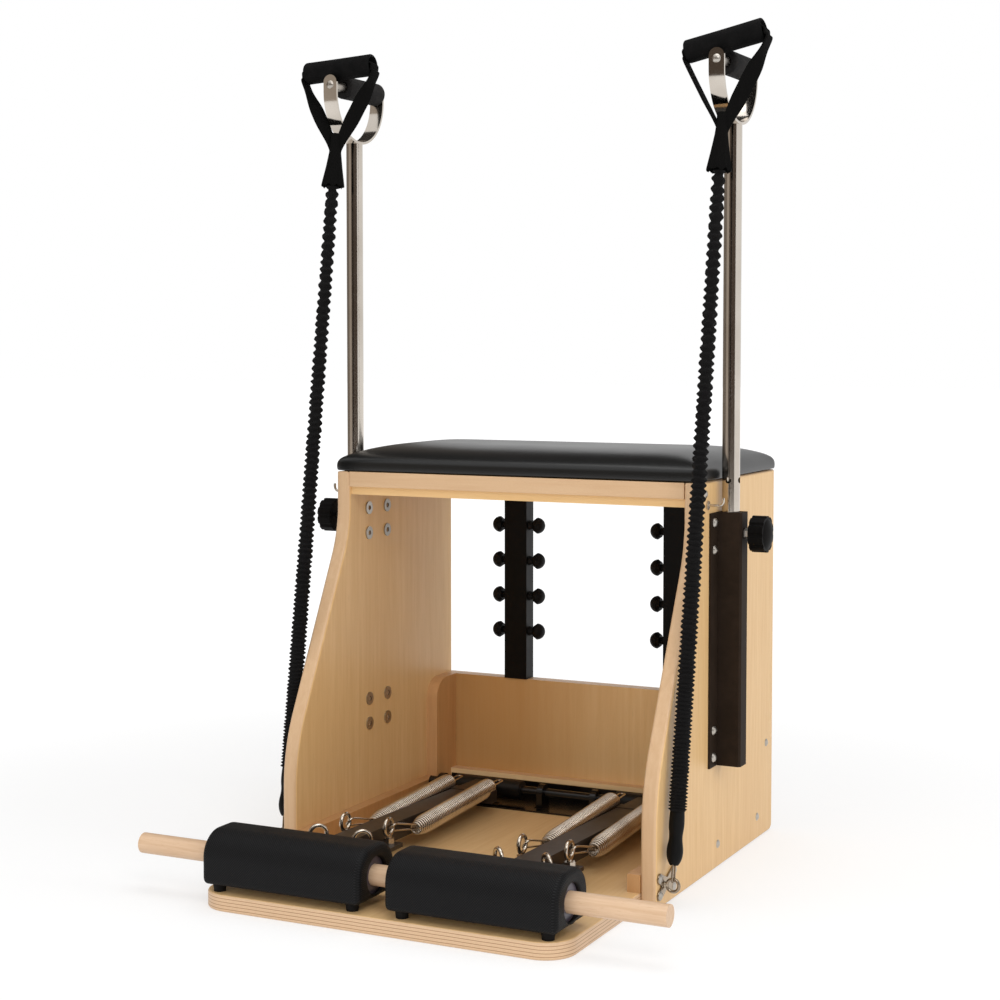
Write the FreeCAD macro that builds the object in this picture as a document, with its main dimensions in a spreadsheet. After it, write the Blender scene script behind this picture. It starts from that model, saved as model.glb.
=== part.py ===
import FreeCAD, Part
import math
import os
import Sketcher
from types import SimpleNamespace

Vector = FreeCAD.Vector

# Driving dimensions, in millimetres and degrees
SIZES = {
    # Case
    "panel_span": 620, "depth": 792, "panel_height": 596, "panel_thick": 24,
    "seat_depth": 357, "foot_depth": 524, "curve_height": 545, "curve_angle": 27,
    "shoulder_radius": 180, "shin_radius": 250, "toe_radius": 8, "heel_radius": 12, "edge_round": 3, "panel_round": 5,
    "base_thick": 24, "base_corner": 45, "back_height": 195, "seat_thick": 24,
    "rail_height": 13, "rail_depth": 20, "rail_setback": 6,
    "cleat_thick": 20, "floor_cleat_height": 26, "corner_cleat_depth": 72, "cleat_round": 35,
    "rear_batten_height": 30, "skin_gap": 0.3,
    # Seat pad
    "pad_height": 43, "pad_side": 21, "pad_shoulder": 75, "pad_lip": 3, "pad_draw": 2, "pad_bulge": 2.5,
    # Spring trees
    "tree_spacing": 295, "tree_width": 42, "tree_depth": 28, "tree_wall": 2,
    "stud_count": 4, "stud_pitch": 61.5, "stud_low": 302, "stud_width": 8, "stud_reach": 9,
    "knob_width": 28, "knob_dome": 13, "knob_back": 6, "knob_back_width": 20,
    "knob_neck": 11, "knob_flare": 17, "stud_gap": 0.05,
    # Post holders
    "holder_drop": 48, "holder_length": 386, "holder_width": 31, "holder_proud": 40, "holder_bevel": 3,
    "flange_thick": 3, "flange_width": 94, "bolt_spacing": 60, "bolt_inset": 15, "bolt_pitch": 41,
    "bolt_width": 8, "bolt_head": 15, "bolt_dome": 5, "bolt_gap": 0.05, "bolt_short": 9, "nut_width": 21,
    "nut_thick": 2,
    # Wood screws
    "screw_head": 13, "screw_dome": 3, "screw_width": 5, "screw_length": 18, "screw_gap": 0.05,
    "screw_low": 37, "screw_rear": 78, "screw_batten": 150, "screw_edge": 34, "screw_top": 18, "screw_front": 28,
    # Posts and yokes
    "post_setback": 266, "post_offset": 17.5, "post_width": 27, "post_wall": 2, "post_sink": 298,
    "slide_gap": 0.08, "pin_hole": 9, "pin_hole_high": 596, "pin_hole_pitch": 60, "pin_hole_count": 4,
    "yoke_low": 1128, "yoke_radius": 75, "yoke_thick": 4, "yoke_width": 24, "yoke_rise": 12, "yoke_tip": 16,
    "weld_sink": 3, "grip_width": 37, "grip_bore": 16.6, "rod_width": 16, "grip_screw": 6, "grip_screw_head": 13,
    "grip_screw_dome": 3, "grip_screw_length": 28, "grip_gap": 0.3, "grip_end_gap": 1,
    # Clamp knobs
    "clamp_drop": 32, "clamp_stud": 8, "clamp_neck": 13, "clamp_width": 55, "clamp_thick": 23,
    "clamp_dome": 6, "flute_count": 10, "flute_width": 9, "clamp_sink": 10, "clamp_gap": 0.3,
    "clamp_nut": 17, "clamp_nut_thick": 6,
    # Hand straps
    "bar_length": 122, "bar_width": 35, "bar_bore": 26, "bar_shift": 6, "bar_tilt_left": 3.4, "bar_tilt_right": 12,
    "strap_width": 24, "strap_thick": 4, "neck_width": 18, "bell_width": 36, "bell_length": 52,
    "neck_length": 10, "bell_sink": 30,
    # Elastic cords
    "cord_top_shift": 7, "cord_top_setback": 348, "cord_top": 1053, "core_width": 10, "sleeve_bore": 10.8,
    "rib_count": 66, "rib_top": 20, "rib_foot": 27, "valley_top": 14, "valley_foot": 22.5,
    "rib_pitch_top": 16, "rib_pitch_foot": 8, "cord_foot": 96,
    "bulb_length": 76, "bulb_width": 24, "bulb_mouth_sink": 14, "bulb_slot_gap": 0.3,
    # Cord anchors and storage hooks
    "anchor_setback": 496, "anchor_lead": 10, "anchor_high": 33, "anchor_plate": 3, "anchor_length": 72, "anchor_width": 42,
    "anchor_corner": 9, "anchor_inset": 9, "eye_ring": 18, "eye_wire": 5, "eye_proud": 15, "link_wire": 3,
    "link_width": 10,
    "hook_setback": 321, "hook_high": 561, "hook_reach": 18, "hook_bend": 7, "hook_wire": 4, "hook_rise": 5,
    "hook_plate": 2, "hook_plate_width": 14,
    # Axle
    "axle_setback": 130, "axle_high": 50, "axle_width": 16, "axle_side_gap": 26, "axle_gap": 0.05,
    "plate_margin": 19, "plate_depth": 105, "plate_thick": 3, "plate_lip": 26, "plate_front": 35,
    "slot_length": 24, "slot_width": 9, "slot_spacing": 90, "slot_setback": 18,
    "block_width": 30, "block_thick": 10, "block_lead_in": 38, "block_lead_out": 26,
    "plate_screw_lead": 21, "plate_screw_y": 14,
    # Pedals
    "pedal_split": 38, "pedal_side_gap": 9, "pad_half": 51, "pad_top": 43, "pad_corner": 38, "pad_wrap": 10,
    "pad_floor": 35.5, "pad_base": 5, "dowel_inset": 53, "dowel_high": 67, "dowel_width": 30, "dowel_length": 828,
    "dowel_gap": 0.3, "end_plate": 3, "end_wall": 8, "end_width": 52, "wrap_gap": 0.3, "rest_gap": 0.3,
    "bumper_end": 20, "bumper_inset": 17, "bumper_top": 20, "bumper_foot": 17,
    "arm_width": 40, "arm_front_high": 78, "arm_front_low": 48, "arm_rear_high": 63, "arm_rear_low": 39,
    "wing_reach": 33, "wing_thick": 6, "wing_high": 54, "wing_setback": 103, "wing_length": 108,
    "hub_width": 32, "hub_inset": 67, "bush_width": 22, "bush_length": 22, "bush_gap": 0.02,
    "eye_spread": 75, "eye_setback": 117, "eye_row": 78, "bolt_eye": 25, "bolt_eye_wire": 6, "bolt_eye_high": 79,
    "bolt_eye_yaw": 50, "bolt_collar": 18, "bolt_collar_high": 9, "bolt_under": 5, "bolt_tail": 8,
    "bolt_tail_gap": 0.05,
    # Springs
    "spring_width": 27, "spring_wire": 3.4, "spring_coils": 24, "spring_lead": 82, "spring_stop": 70,
    "spring_front_high": 58, "spring_rear_high": 70, "mouth_width": 19, "tail_width": 17.6,
    "mouth_taper": 4, "tail_taper": 1.5, "spring_link_wire": 3, "spring_link_width": 10.4,
    "mouth_depth": 12, "tail_loop": 44, "cradle_length": 22, "cradle_wall": 9, "cradle_rear": 30, "cradle_gap": 0.3,
    # Overrun of cutting tools
    "overrun": 1,
}

# Shares of one rib's pitch: the foot of the rise, the crest and its end
RIB_SHARES = (0.0, 0.3, 0.6, 0.9)
# Shares of the pad's width at which its sections stand
PAD_SECTION_SHARES = (-0.5, -0.494, -0.482, -0.465, -0.44, -0.41, -0.379, -0.22, 0.0,
                      0.22, 0.379, 0.41, 0.44, 0.465, 0.482, 0.494, 0.5)
# Shares of the pad's swell: at its ends, lost towards them, at its shoulder and where the shoulder turns
PAD_END_SHARE = 0.15
PAD_FALL_SHARE = 0.2
PAD_SHOULDER_SHARE = 0.8
PAD_TURN_SHARES = (0.3, 0.65)
# Shares of the bulb's length and of its width that give its outline
BULB_OUTLINE_SHARES = ((0.0, 0.86), (0.14, 0.92), (0.32, 0.9), (0.48, 0.8), (0.7, 0.98), (0.9, 0.84), (1.0, 0.5))


class Dim:
    """A length, or a sum of lengths, kept as a number and as the expression that gives it."""

    def __init__(self, value, text):
        self.value = value
        self.text = text

    def __add__(self, other):
        other = dim(other)
        return Dim(self.value + other.value, f"({self.text} + {other.text})")

    def __sub__(self, other):
        other = dim(other)
        return Dim(self.value - other.value, f"({self.text} - {other.text})")

    def __mul__(self, other):
        other = dim(other)
        return Dim(self.value * other.value, f"({self.text} * {other.text})")

    def __truediv__(self, other):
        other = dim(other)
        return Dim(self.value / other.value, f"({self.text} / {other.text})")

    def __neg__(self):
        return Dim(-self.value, f"(-1 * {self.text})")

    __radd__ = __add__
    __rmul__ = __mul__

    def __rsub__(self, other):
        return dim(other) - self


def dim(number):
    """Returns the number as a Dim, unless it is one."""
    if isinstance(number, Dim):
        return number
    return Dim(float(number), repr(float(number)))


def sine(angle):
    return Dim(math.sin(math.radians(angle.value)), f"sin({angle.text})")


def cosine(angle):
    return Dim(math.cos(math.radians(angle.value)), f"cos({angle.text})")


doc = FreeCAD.newDocument("pilates_chair")
sheet = doc.addObject("Spreadsheet::Sheet", "Sizes")
for row, (alias, number) in enumerate(SIZES.items(), start=1):
    sheet.set(f"A{row}", alias)
    sheet.set(f"B{row}", str(number))
    sheet.setAlias(f"B{row}", alias)
doc.recompute()
s = SimpleNamespace(**{alias: Dim(float(sheet.get(alias)), f"Sizes.{alias}") for alias in SIZES})
pieces = {}


# Helpers that make and bind the document's objects

def bind(item, **sizes):
    for prop, size in sizes.items():
        setattr(item, prop, size.value)
        item.setExpression(prop, size.text)
    return item


def place(item, point, axis=(0, 0, 1), turn=None):
    """Puts the item's origin at the point, with its own Z along the axis."""
    point = [dim(c) for c in point]
    rotation = FreeCAD.Rotation(Vector(0, 0, 1), Vector(*axis))
    if turn:
        rotation = turn.multiply(rotation)
    item.Placement = FreeCAD.Placement(Vector(*[c.value for c in point]), rotation)
    for letter, c in zip("xyz", point):
        item.setExpression(f"Placement.Base.{letter}", c.text)
    return item


def box(name, low, span):
    item = doc.addObject("Part::Box", name)
    bind(item, Length=span[0], Width=span[1], Height=span[2])
    return place(item, low)


def cylinder(name, base, axis, width, length):
    item = doc.addObject("Part::Cylinder", name)
    bind(item, Radius=width / 2, Height=length)
    return place(item, base, axis)


def cap(name, base, axis, width, height):
    """A domed head: its flat side is at the base and its crown points along the axis."""
    ball = (width * width / 4 + height * height) / (height * 2)
    item = doc.addObject("Part::Sphere", name)
    bind(item, Radius=ball)
    sink = ball - height
    item.Angle1 = math.degrees(math.asin(sink.value / ball.value))
    item.setExpression("Angle1", f"asin({(sink / ball).text})")
    return place(item, [dim(c) - sink * a for c, a in zip(base, axis)], axis)


def hexagon(name, base, axis, width, height):
    """A six-sided prism; the width is across its corners."""
    item = doc.addObject("Part::Prism", name)
    item.Polygon = 6
    bind(item, Circumradius=width / 2, Height=height)
    return place(item, base, axis)


def compound(name, items):
    item = doc.addObject("Part::Compound", name)
    item.Links = items
    return item


def fuse(name, *items):
    item = doc.addObject("Part::MultiFuse", name)
    item.Shapes = list(items)
    item.Refine = True
    return item


def cut(name, base, *tools):
    item = doc.addObject("Part::Cut", name)
    item.Base = base
    item.Tool = tools[0] if len(tools) == 1 else compound(name + "_tools", list(tools))
    return item


def mirrored(name, source):
    item = doc.addObject("Part::Mirroring", name)
    item.Source = source
    item.Normal = Vector(1, 0, 0)
    return item


def feature(name, shape):
    item = doc.addObject("Part::Feature", name)
    item.Shape = shape
    return item


def piece(label, item):
    """Names a finished sub-part."""
    item.Label = label
    pieces[label] = item
    return item


def pair(label, item):
    """Names a right-hand sub-part and makes its left-hand mirror image."""
    piece(label + "_right", item)
    piece(label + "_left", mirrored(item.Name + "_mirror", item))


def both(name, items):
    """Returns the items with their mirror images."""
    return list(items) + [mirrored(f"{name}_mirror_{i}", item) for i, item in enumerate(items)]


def arc_centre(start, end, radius, turn):
    """Centre of the arc of under a half circle from start to end; turn is 1 anticlockwise, -1 clockwise."""
    du = end[0] - start[0]
    dv = end[1] - start[1]
    chord = math.hypot(du, dv)
    rise = math.sqrt(radius * radius - chord * chord / 4)
    return ((start[0] + end[0]) / 2 - turn * dv / chord * rise, (start[1] + end[1]) / 2 + turn * du / chord * rise)


def pin_vertex(sketch, geometry, end, point):
    """Ties a sketch vertex to its two lengths from the sketch's origin."""
    for kind, axis, size in (("DistanceX", -2, point[0]), ("DistanceY", -1, point[1])):
        size = dim(size)
        if size.value == 0:
            sketch.addConstraint(Sketcher.Constraint("PointOnObject", geometry, end, axis))
            continue
        index = sketch.addConstraint(Sketcher.Constraint(kind, -1, 1, geometry, end, size.value))
        sketch.setExpression(f"Constraints[{index}]", size.text)


def draw_outline(sketch, points):
    """Draws a closed outline: each point is (u, v), or (u, v, radius, turn) where an arc starts."""
    flat = [(dim(p[0]).value, dim(p[1]).value) for p in points]
    ends = []
    for i, p in enumerate(points):
        start, end = flat[i], flat[(i + 1) % len(points)]
        if len(p) == 2:
            index = sketch.addGeometry(Part.LineSegment(Vector(*start, 0), Vector(*end, 0)), False)
            ends.append((index, 1, 2))
            continue
        radius, turn = p[2], p[3]
        centre = arc_centre(start, end, radius.value, turn)
        low, high = (start, end) if turn > 0 else (end, start)
        angles = [math.atan2(q[1] - centre[1], q[0] - centre[0]) for q in (low, high)]
        if angles[1] < angles[0]:
            angles[1] += 2 * math.pi
        circle = Part.Circle(Vector(*centre, 0), Vector(0, 0, 1), radius.value)
        index = sketch.addGeometry(Part.ArcOfCircle(circle, *angles), False)
        ends.append((index, 1, 2) if turn > 0 else (index, 2, 1))
    for i, (index, start, end) in enumerate(ends):
        following = ends[(i + 1) % len(ends)]
        sketch.addConstraint(Sketcher.Constraint("Coincident", index, end, following[0], following[1]))
    for (index, start, end), p in zip(ends, points):
        pin_vertex(sketch, index, start, p)
        if len(p) > 2:
            number = sketch.addConstraint(Sketcher.Constraint("Radius", index, p[2].value))
            sketch.setExpression(f"Constraints[{number}]", p[2].text)


def padded_body(name, role, points, length, offset=(0, 0, 0)):
    """A body padded from an outline drawn on one of its own origin planes."""
    body = doc.addObject("PartDesign::Body", name)
    sketch = body.newObject("Sketcher::SketchObject", name + "_outline")
    plane = next(f for f in body.Origin.OriginFeatures if f.Role == role)
    sketch.AttachmentSupport = (plane, [""])
    sketch.MapMode = "FlatFace"
    draw_outline(sketch, points)
    pad = body.newObject("PartDesign::Pad", name + "_pad")
    pad.Profile = sketch
    bind(pad, Length=length)
    body.Tip = pad
    return place(body, offset)


def round_edges(body, radius, wanted):
    """Rounds the edges of the body's tip that the test accepts."""
    doc.recompute()
    base = body.Tip
    names = [f"Edge{i + 1}" for i, edge in enumerate(base.Shape.Edges) if wanted(edge)]
    fillet = body.newObject("PartDesign::Fillet", body.Name + "_round")
    fillet.Base = (base, names)
    bind(fillet, Radius=radius)
    body.Tip = fillet
    return body


def flat_along(letter):
    """A test for edges that lie in a plane square to the axis."""
    def test(edge):
        bounds = edge.BoundBox
        return getattr(bounds, letter.upper() + "Length") < s.skin_gap.value
    return test


def rod(path, width):
    """A round bar along a wire."""
    start = path.Edges[0]
    tangent = start.tangentAt(start.FirstParameter)
    ring = Part.Wire(Part.Circle(start.valueAt(start.FirstParameter), tangent, width / 2).toShape())
    return pipe(path, ring)


def pipe(path, ring):
    shell = Part.BRepOffsetAPI.MakePipeShell(path)
    shell.add(ring)
    shell.build()
    shell.makeSolid()
    return shell.shape()


def link_shape(start, end, side, width, wire):
    """A long closed link: its two round ends are centred on start and end, and side spans its width."""
    along = (end - start).normalize()
    half = side * (width / 2)
    first = Part.Arc(start + half, start - along * (width / 2), start - half).toShape()
    second = Part.Arc(end - half, end + along * (width / 2), end + half).toShape()
    edges = [first, Part.makeLine(start - half, end - half), second, Part.makeLine(end + half, start + half)]
    return rod(Part.Wire(edges), wire)


# Places that several pieces share
rear = s.depth / 2
front = -rear
half_span = s.panel_span / 2
inner = half_span - s.panel_thick
post_x = half_span + s.post_offset
post_y = rear - s.post_setback
axle_y = rear - s.axle_setback
dowel_y = front + s.dowel_inset
tree_y = rear - s.tree_depth
board_y = rear - s.panel_thick
back_top = s.base_thick + s.back_height
seat_low = s.panel_height - s.seat_thick
tree_x = s.tree_spacing / 2
grip_z = s.yoke_low + s.yoke_radius + s.yoke_thick / 2 + s.yoke_rise
holder_top = s.panel_height - s.holder_drop
holder_low = holder_top - s.holder_length
clamp_z = holder_top - s.clamp_drop
post_low = holder_top - s.post_sink
pedal_length = inner - s.pedal_side_gap - s.pedal_split / 2
pedal_x = s.pedal_split / 2 + pedal_length / 2
hub_length = pedal_length - s.hub_inset * 2
block_inner = pedal_x - hub_length / 2 - s.block_lead_in
block_outer = pedal_x + hub_length / 2 + s.block_lead_out
plate_half = block_outer + s.plate_margin
eye_front = dowel_y + s.eye_setback
eye_rear = eye_front + s.eye_row
spring_front = eye_rear + s.spring_lead
spring_rear = axle_y - s.spring_stop
bolt_rows = [holder_low + s.bolt_inset, holder_low + s.bolt_inset + s.bolt_pitch,
             holder_top - s.bolt_inset - s.bolt_pitch, holder_top - s.bolt_inset]
bolt_places = [(post_y + s.bolt_spacing / 2 * side, z) for side in (-1, 1) for z in bolt_rows]
panel_screw_places = [(post_y, s.screw_low), (rear - s.screw_rear, s.screw_low),
                      (rear - s.screw_edge, s.screw_batten),
                      (rear - s.seat_depth + s.screw_front, s.panel_height - s.screw_top)]
plus_x = (1, 0, 0)
minus_x = (-1, 0, 0)
minus_y = (0, -1, 0)
plus_y = (0, 1, 0)


# Case: side panels, boards and battens

def side_panel():
    """The right-hand panel, with its front edge curving out to the foot."""
    seat_y = rear - s.seat_depth
    foot_y = rear - s.foot_depth
    back = 1 - cosine(s.curve_angle)
    upper = (seat_y - s.shoulder_radius * back, s.curve_height - s.shoulder_radius * sine(s.curve_angle))
    lower_y = foot_y + s.shin_radius * back
    lower_z = upper[1] - (upper[0] - lower_y) * cosine(s.curve_angle) / sine(s.curve_angle)
    knee_z = lower_z - s.shin_radius * sine(s.curve_angle)
    outline = [(rear, s.panel_height), (seat_y, s.panel_height),
               (seat_y, s.curve_height, s.shoulder_radius, -1), upper,
               (lower_y, lower_z, s.shin_radius, 1), (foot_y, knee_z),
               (foot_y, s.toe_radius, s.toe_radius, 1), (foot_y + s.toe_radius, 0),
               (rear - s.heel_radius, 0, s.heel_radius, 1), (rear, s.heel_radius)]
    panel = padded_body("side_panel", "YZ_Plane", outline, s.panel_thick, (inner, 0, 0))
    round_edges(panel, s.panel_round, flat_along("x"))
    holes = [cylinder(f"bolt_hole_{i}", (inner - s.overrun, y, z), plus_x, s.bolt_width + s.bolt_gap * 2,
                      s.panel_thick + s.overrun * 2) for i, (y, z) in enumerate(bolt_places)]
    holes += [cylinder(f"screw_hole_{i}", (half_span - s.screw_length - s.screw_gap, y, z), plus_x,
                       s.screw_width + s.screw_gap * 2, s.screw_length + s.overrun)
              for i, (y, z) in enumerate(panel_screw_places + anchor_screw_places())]
    pair("side_panel", cut("side_panel_drilled", panel, *holes))


def anchor_screw_places():
    """Where the four screws of a cord anchor stand on the panel."""
    centre_y = rear - s.anchor_setback + s.anchor_lead
    reach_y = s.anchor_length / 2 - s.anchor_inset
    reach_z = s.anchor_width / 2 - s.anchor_inset
    return [(centre_y + reach_y * i, s.anchor_high + reach_z * k) for i in (-1, 1) for k in (-1, 1)]


def base_board():
    outline = [(-inner, rear), (-inner, front + s.base_corner, s.base_corner, 1),
               (-inner + s.base_corner, front), (inner - s.base_corner, front, s.base_corner, 1),
               (inner, front + s.base_corner), (inner, rear)]
    board = padded_body("base", "XY_Plane", outline, s.base_thick)
    round_edges(board, s.edge_round, flat_along("z"))
    holes = [cylinder(f"base_hole_{i}", (x, y, s.base_thick - s.screw_length - s.screw_gap), (0, 0, 1),
                      s.screw_width + s.screw_gap * 2, s.screw_length + s.overrun)
             for i, (x, y) in enumerate(plate_screw_places())]
    piece("base_board", cut("base_drilled", board, *both("base_hole", holes)))


def boards():
    piece("back_board", box("back", (-inner, board_y, s.base_thick), (inner * 2, s.panel_thick, s.back_height)))
    piece("seat_board", box("seat", (-inner, rear - s.seat_depth, seat_low), (inner * 2, s.seat_depth, s.seat_thick)))
    piece("seat_front_rail", box("rail", (-inner, rear - s.seat_depth + s.rail_setback, seat_low - s.rail_height),
                                 (inner * 2, s.rail_depth, s.rail_height)))
    piece("rear_batten", box("batten", (-inner + s.cleat_thick, board_y - s.cleat_thick, s.base_thick),
                             (inner * 2 - s.cleat_thick * 2, s.cleat_thick, s.rear_batten_height)))


def cleats():
    """Battens along the foot of each panel, and rounded ones up its rear corner."""
    cleat_x = inner - s.cleat_thick
    cleat_top = s.base_thick + s.floor_cleat_height
    floor = box("floor_cleat", (cleat_x, rear - s.foot_depth, s.base_thick),
                (s.cleat_thick, s.foot_depth - s.panel_thick, s.floor_cleat_height))
    front_y = board_y - s.corner_cleat_depth
    outline = [(board_y, cleat_top), (board_y, back_top), (front_y + s.cleat_round, back_top, s.cleat_round, 1),
               (front_y, back_top - s.cleat_round), (front_y, cleat_top)]
    corner = padded_body("corner_cleat", "YZ_Plane", outline, s.cleat_thick, (cleat_x, 0, 0))
    piece("side_cleats", compound("cleat_set", both("cleat", [floor, corner])))


def seat_pad():
    """The upholstered pad: a level underside, sides drawn in between the corners, and a crowned top."""
    low = s.panel_height.value
    depth = s.seat_depth.value
    width = s.panel_span.value
    middle = rear.value - depth / 2
    swell = s.pad_height.value - s.pad_side.value
    sections = []
    for share in PAD_SECTION_SHARES:
        x = width * share
        away = 1 - (2 * share) ** 2
        reach = depth / 2 - s.pad_draw.value * away
        side = low + s.pad_side.value
        near = min(1, (1 / 2 - abs(share)) * width / s.pad_shoulder.value)
        climb = max(PAD_END_SHARE, math.sqrt(near * (2 - near)))
        crown = side + swell * climb * (1 - PAD_FALL_SHARE * (1 - away))
        shoulder = side + (crown - side) * PAD_SHOULDER_SHARE
        inset = s.pad_shoulder.value * near + s.pad_lip.value
        turn_y = reach - inset * PAD_TURN_SHARES[0]
        turn_z = side + (shoulder - side) * PAD_TURN_SHARES[1]
        tuck = reach - s.pad_bulge.value
        outline = [(-tuck, low), (-reach, side), (inset - reach, shoulder),
                   (reach - inset, shoulder), (reach, side), (tuck, low)]
        middles = [None, (-turn_y, turn_z), (0, crown), (turn_y, turn_z), None, None]
        points = [Vector(x, middle + y, z) for y, z in outline]
        edges = []
        for i, mid in enumerate(middles):
            first, last = points[i], points[(i + 1) % len(points)]
            if mid is None:
                edges.append(Part.makeLine(first, last))
            else:
                edges.append(Part.Arc(first, Vector(x, middle + mid[0], mid[1]), last).toShape())
        sections.append(Part.Wire(edges))
    piece("seat_pad", feature("pad", Part.makeLoft(sections, True, True)))


# Spring trees with their mushroom knobs

def spring_trees():
    height = seat_low - back_top
    levels = [s.stud_low + s.stud_pitch * i for i in range(int(s.stud_count.value))]
    reach = s.tree_width + s.stud_reach * 2
    middle_y = rear - s.tree_depth / 2
    outer = box("tree_outer", (tree_x - s.tree_width / 2, tree_y, back_top), (s.tree_width, s.tree_depth, height))
    hollow = box("tree_hollow", (tree_x - s.tree_width / 2 + s.tree_wall, tree_y + s.tree_wall, back_top - s.overrun),
                 (s.tree_width - s.tree_wall * 2, s.tree_depth - s.tree_wall * 2, height + s.overrun * 2))
    tube = cut("tree_tube", outer, hollow)
    holes = [cylinder(f"tree_hole_{i}", (tree_x - s.tree_width, middle_y, z), plus_x,
                      s.stud_width + s.stud_gap * 2, s.tree_width * 2) for i, z in enumerate(levels)]
    pair("spring_tree", cut("tree_drilled", tube, *holes))
    studs = []
    heads = []
    for i, z in enumerate(levels):
        studs.append(cylinder(f"tree_stud_{i}", (tree_x - reach / 2, middle_y, z), plus_x, s.stud_width, reach))
        for name, axis in (("out", plus_x), ("in", minus_x)):
            root = (tree_x + s.tree_width / 2 * axis[0], middle_y, z)
            head = cap(f"tree_head_{name}_{i}", (tree_x + (reach / 2 + s.knob_back) * axis[0], middle_y, z), axis,
                       s.knob_width, s.knob_dome)
            back = doc.addObject("Part::Cone", f"tree_back_{name}_{i}")
            bind(back, Radius1=s.knob_back_width / 2, Radius2=s.knob_width / 2, Height=s.knob_back)
            place(back, (tree_x + reach / 2 * axis[0], middle_y, z), axis)
            neck = doc.addObject("Part::Cone", f"tree_neck_{name}_{i}")
            bind(neck, Radius1=s.knob_flare / 2, Radius2=s.knob_neck / 2, Height=s.stud_reach)
            place(neck, root, axis)
            bore = cylinder(f"tree_neck_bore_{name}_{i}", root, axis, s.stud_width + s.stud_gap * 2, s.stud_reach)
            heads.append(cut(f"tree_knob_{name}_{i}", fuse(f"tree_mushroom_{name}_{i}", head, back, neck), bore))
    piece("tree_studs", compound("tree_stud_set", both("tree_stud", studs)))
    piece("tree_knobs", compound("tree_head_set", both("tree_head", heads)))


# Post holders and their fasteners

def post_holders():
    """A hat section with a bore for the post, drilled for its bolts and for the clamp."""
    out = half_span + s.holder_proud
    wide = s.holder_width / 2
    flange = half_span + s.flange_thick
    outline = [(half_span, post_y - s.flange_width / 2), (flange, post_y - s.flange_width / 2),
               (flange, post_y - wide), (out - s.holder_bevel, post_y - wide), (out, post_y - wide + s.holder_bevel),
               (out, post_y + wide - s.holder_bevel), (out - s.holder_bevel, post_y + wide), (flange, post_y + wide),
               (flange, post_y + s.flange_width / 2), (half_span, post_y + s.flange_width / 2)]
    section = padded_body("holder", "XY_Plane", outline, s.holder_length, (0, 0, holder_low))
    bore = cylinder("holder_bore", (post_x, post_y, holder_low - s.overrun), (0, 0, 1),
                    s.post_width + s.slide_gap * 2, s.holder_length + s.overrun * 2)
    thread = cylinder("holder_thread", (post_x, post_y, clamp_z), plus_x,
                      s.clamp_stud + s.clamp_gap * 2, s.holder_proud)
    holes = [cylinder(f"flange_hole_{i}", (half_span - s.overrun, y, z), plus_x, s.bolt_width + s.bolt_gap * 2,
                      s.flange_thick + s.overrun * 2) for i, (y, z) in enumerate(bolt_places)]
    pair("post_holder", cut("holder_drilled", section, bore, thread, *holes))


def holder_fasteners():
    """Domed bolts through flange and panel, each with a tee nut on the inner face."""
    bolts = []
    nuts = []
    head_x = half_span + s.flange_thick
    for i, (y, z) in enumerate(bolt_places):
        head = cap(f"bolt_head_{i}", (head_x, y, z), plus_x, s.bolt_head, s.bolt_dome)
        shank = cylinder(f"bolt_shank_{i}", (inner + s.bolt_short, y, z), plus_x, s.bolt_width,
                         head_x - inner - s.bolt_short)
        bolts.append(fuse(f"bolt_{i}", head, shank))
        disc = cylinder(f"nut_disc_{i}", (inner - s.nut_thick, y, z), plus_x, s.nut_width, s.nut_thick)
        bore = cylinder(f"nut_bore_{i}", (inner - s.nut_thick - s.overrun, y, z), plus_x,
                        s.bolt_width + s.bolt_gap * 2, s.nut_thick + s.overrun * 2)
        nuts.append(cut(f"nut_{i}", disc, bore))
    piece("holder_bolts", compound("bolt_set", both("bolt", bolts)))
    piece("tee_nuts", compound("nut_set", both("nut", nuts)))


def wood_screw(name, seat, axis):
    """A pan-headed screw whose head sits at the seat point."""
    tail = [dim(c) - s.screw_length * a for c, a in zip(seat, axis)]
    return fuse(name, cap(name + "_head", seat, axis, s.screw_head, s.screw_dome),
                cylinder(name + "_shank", tail, axis, s.screw_width, s.screw_length))


def plate_screw_places():
    """Where the axle plate's right-hand screws stand."""
    low = axle_y - s.plate_front + s.plate_screw_y
    x = block_outer - s.plate_screw_lead
    return [(x, low), (x, low + s.plate_depth - s.plate_screw_y * 3)]


def wood_screws():
    screws = [wood_screw(f"panel_screw_{i}", (half_span, y, z), plus_x) for i, (y, z) in enumerate(panel_screw_places)]
    screws += [wood_screw(f"anchor_screw_{i}", (half_span + s.anchor_plate, y, z), plus_x)
               for i, (y, z) in enumerate(anchor_screw_places())]
    screws += [wood_screw(f"plate_screw_{i}", (x, y, s.base_thick + s.plate_thick), (0, 0, 1))
               for i, (x, y) in enumerate(plate_screw_places())]
    piece("wood_screws", compound("screw_set", both("screw", screws)))


# Posts with their yokes and grips

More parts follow.
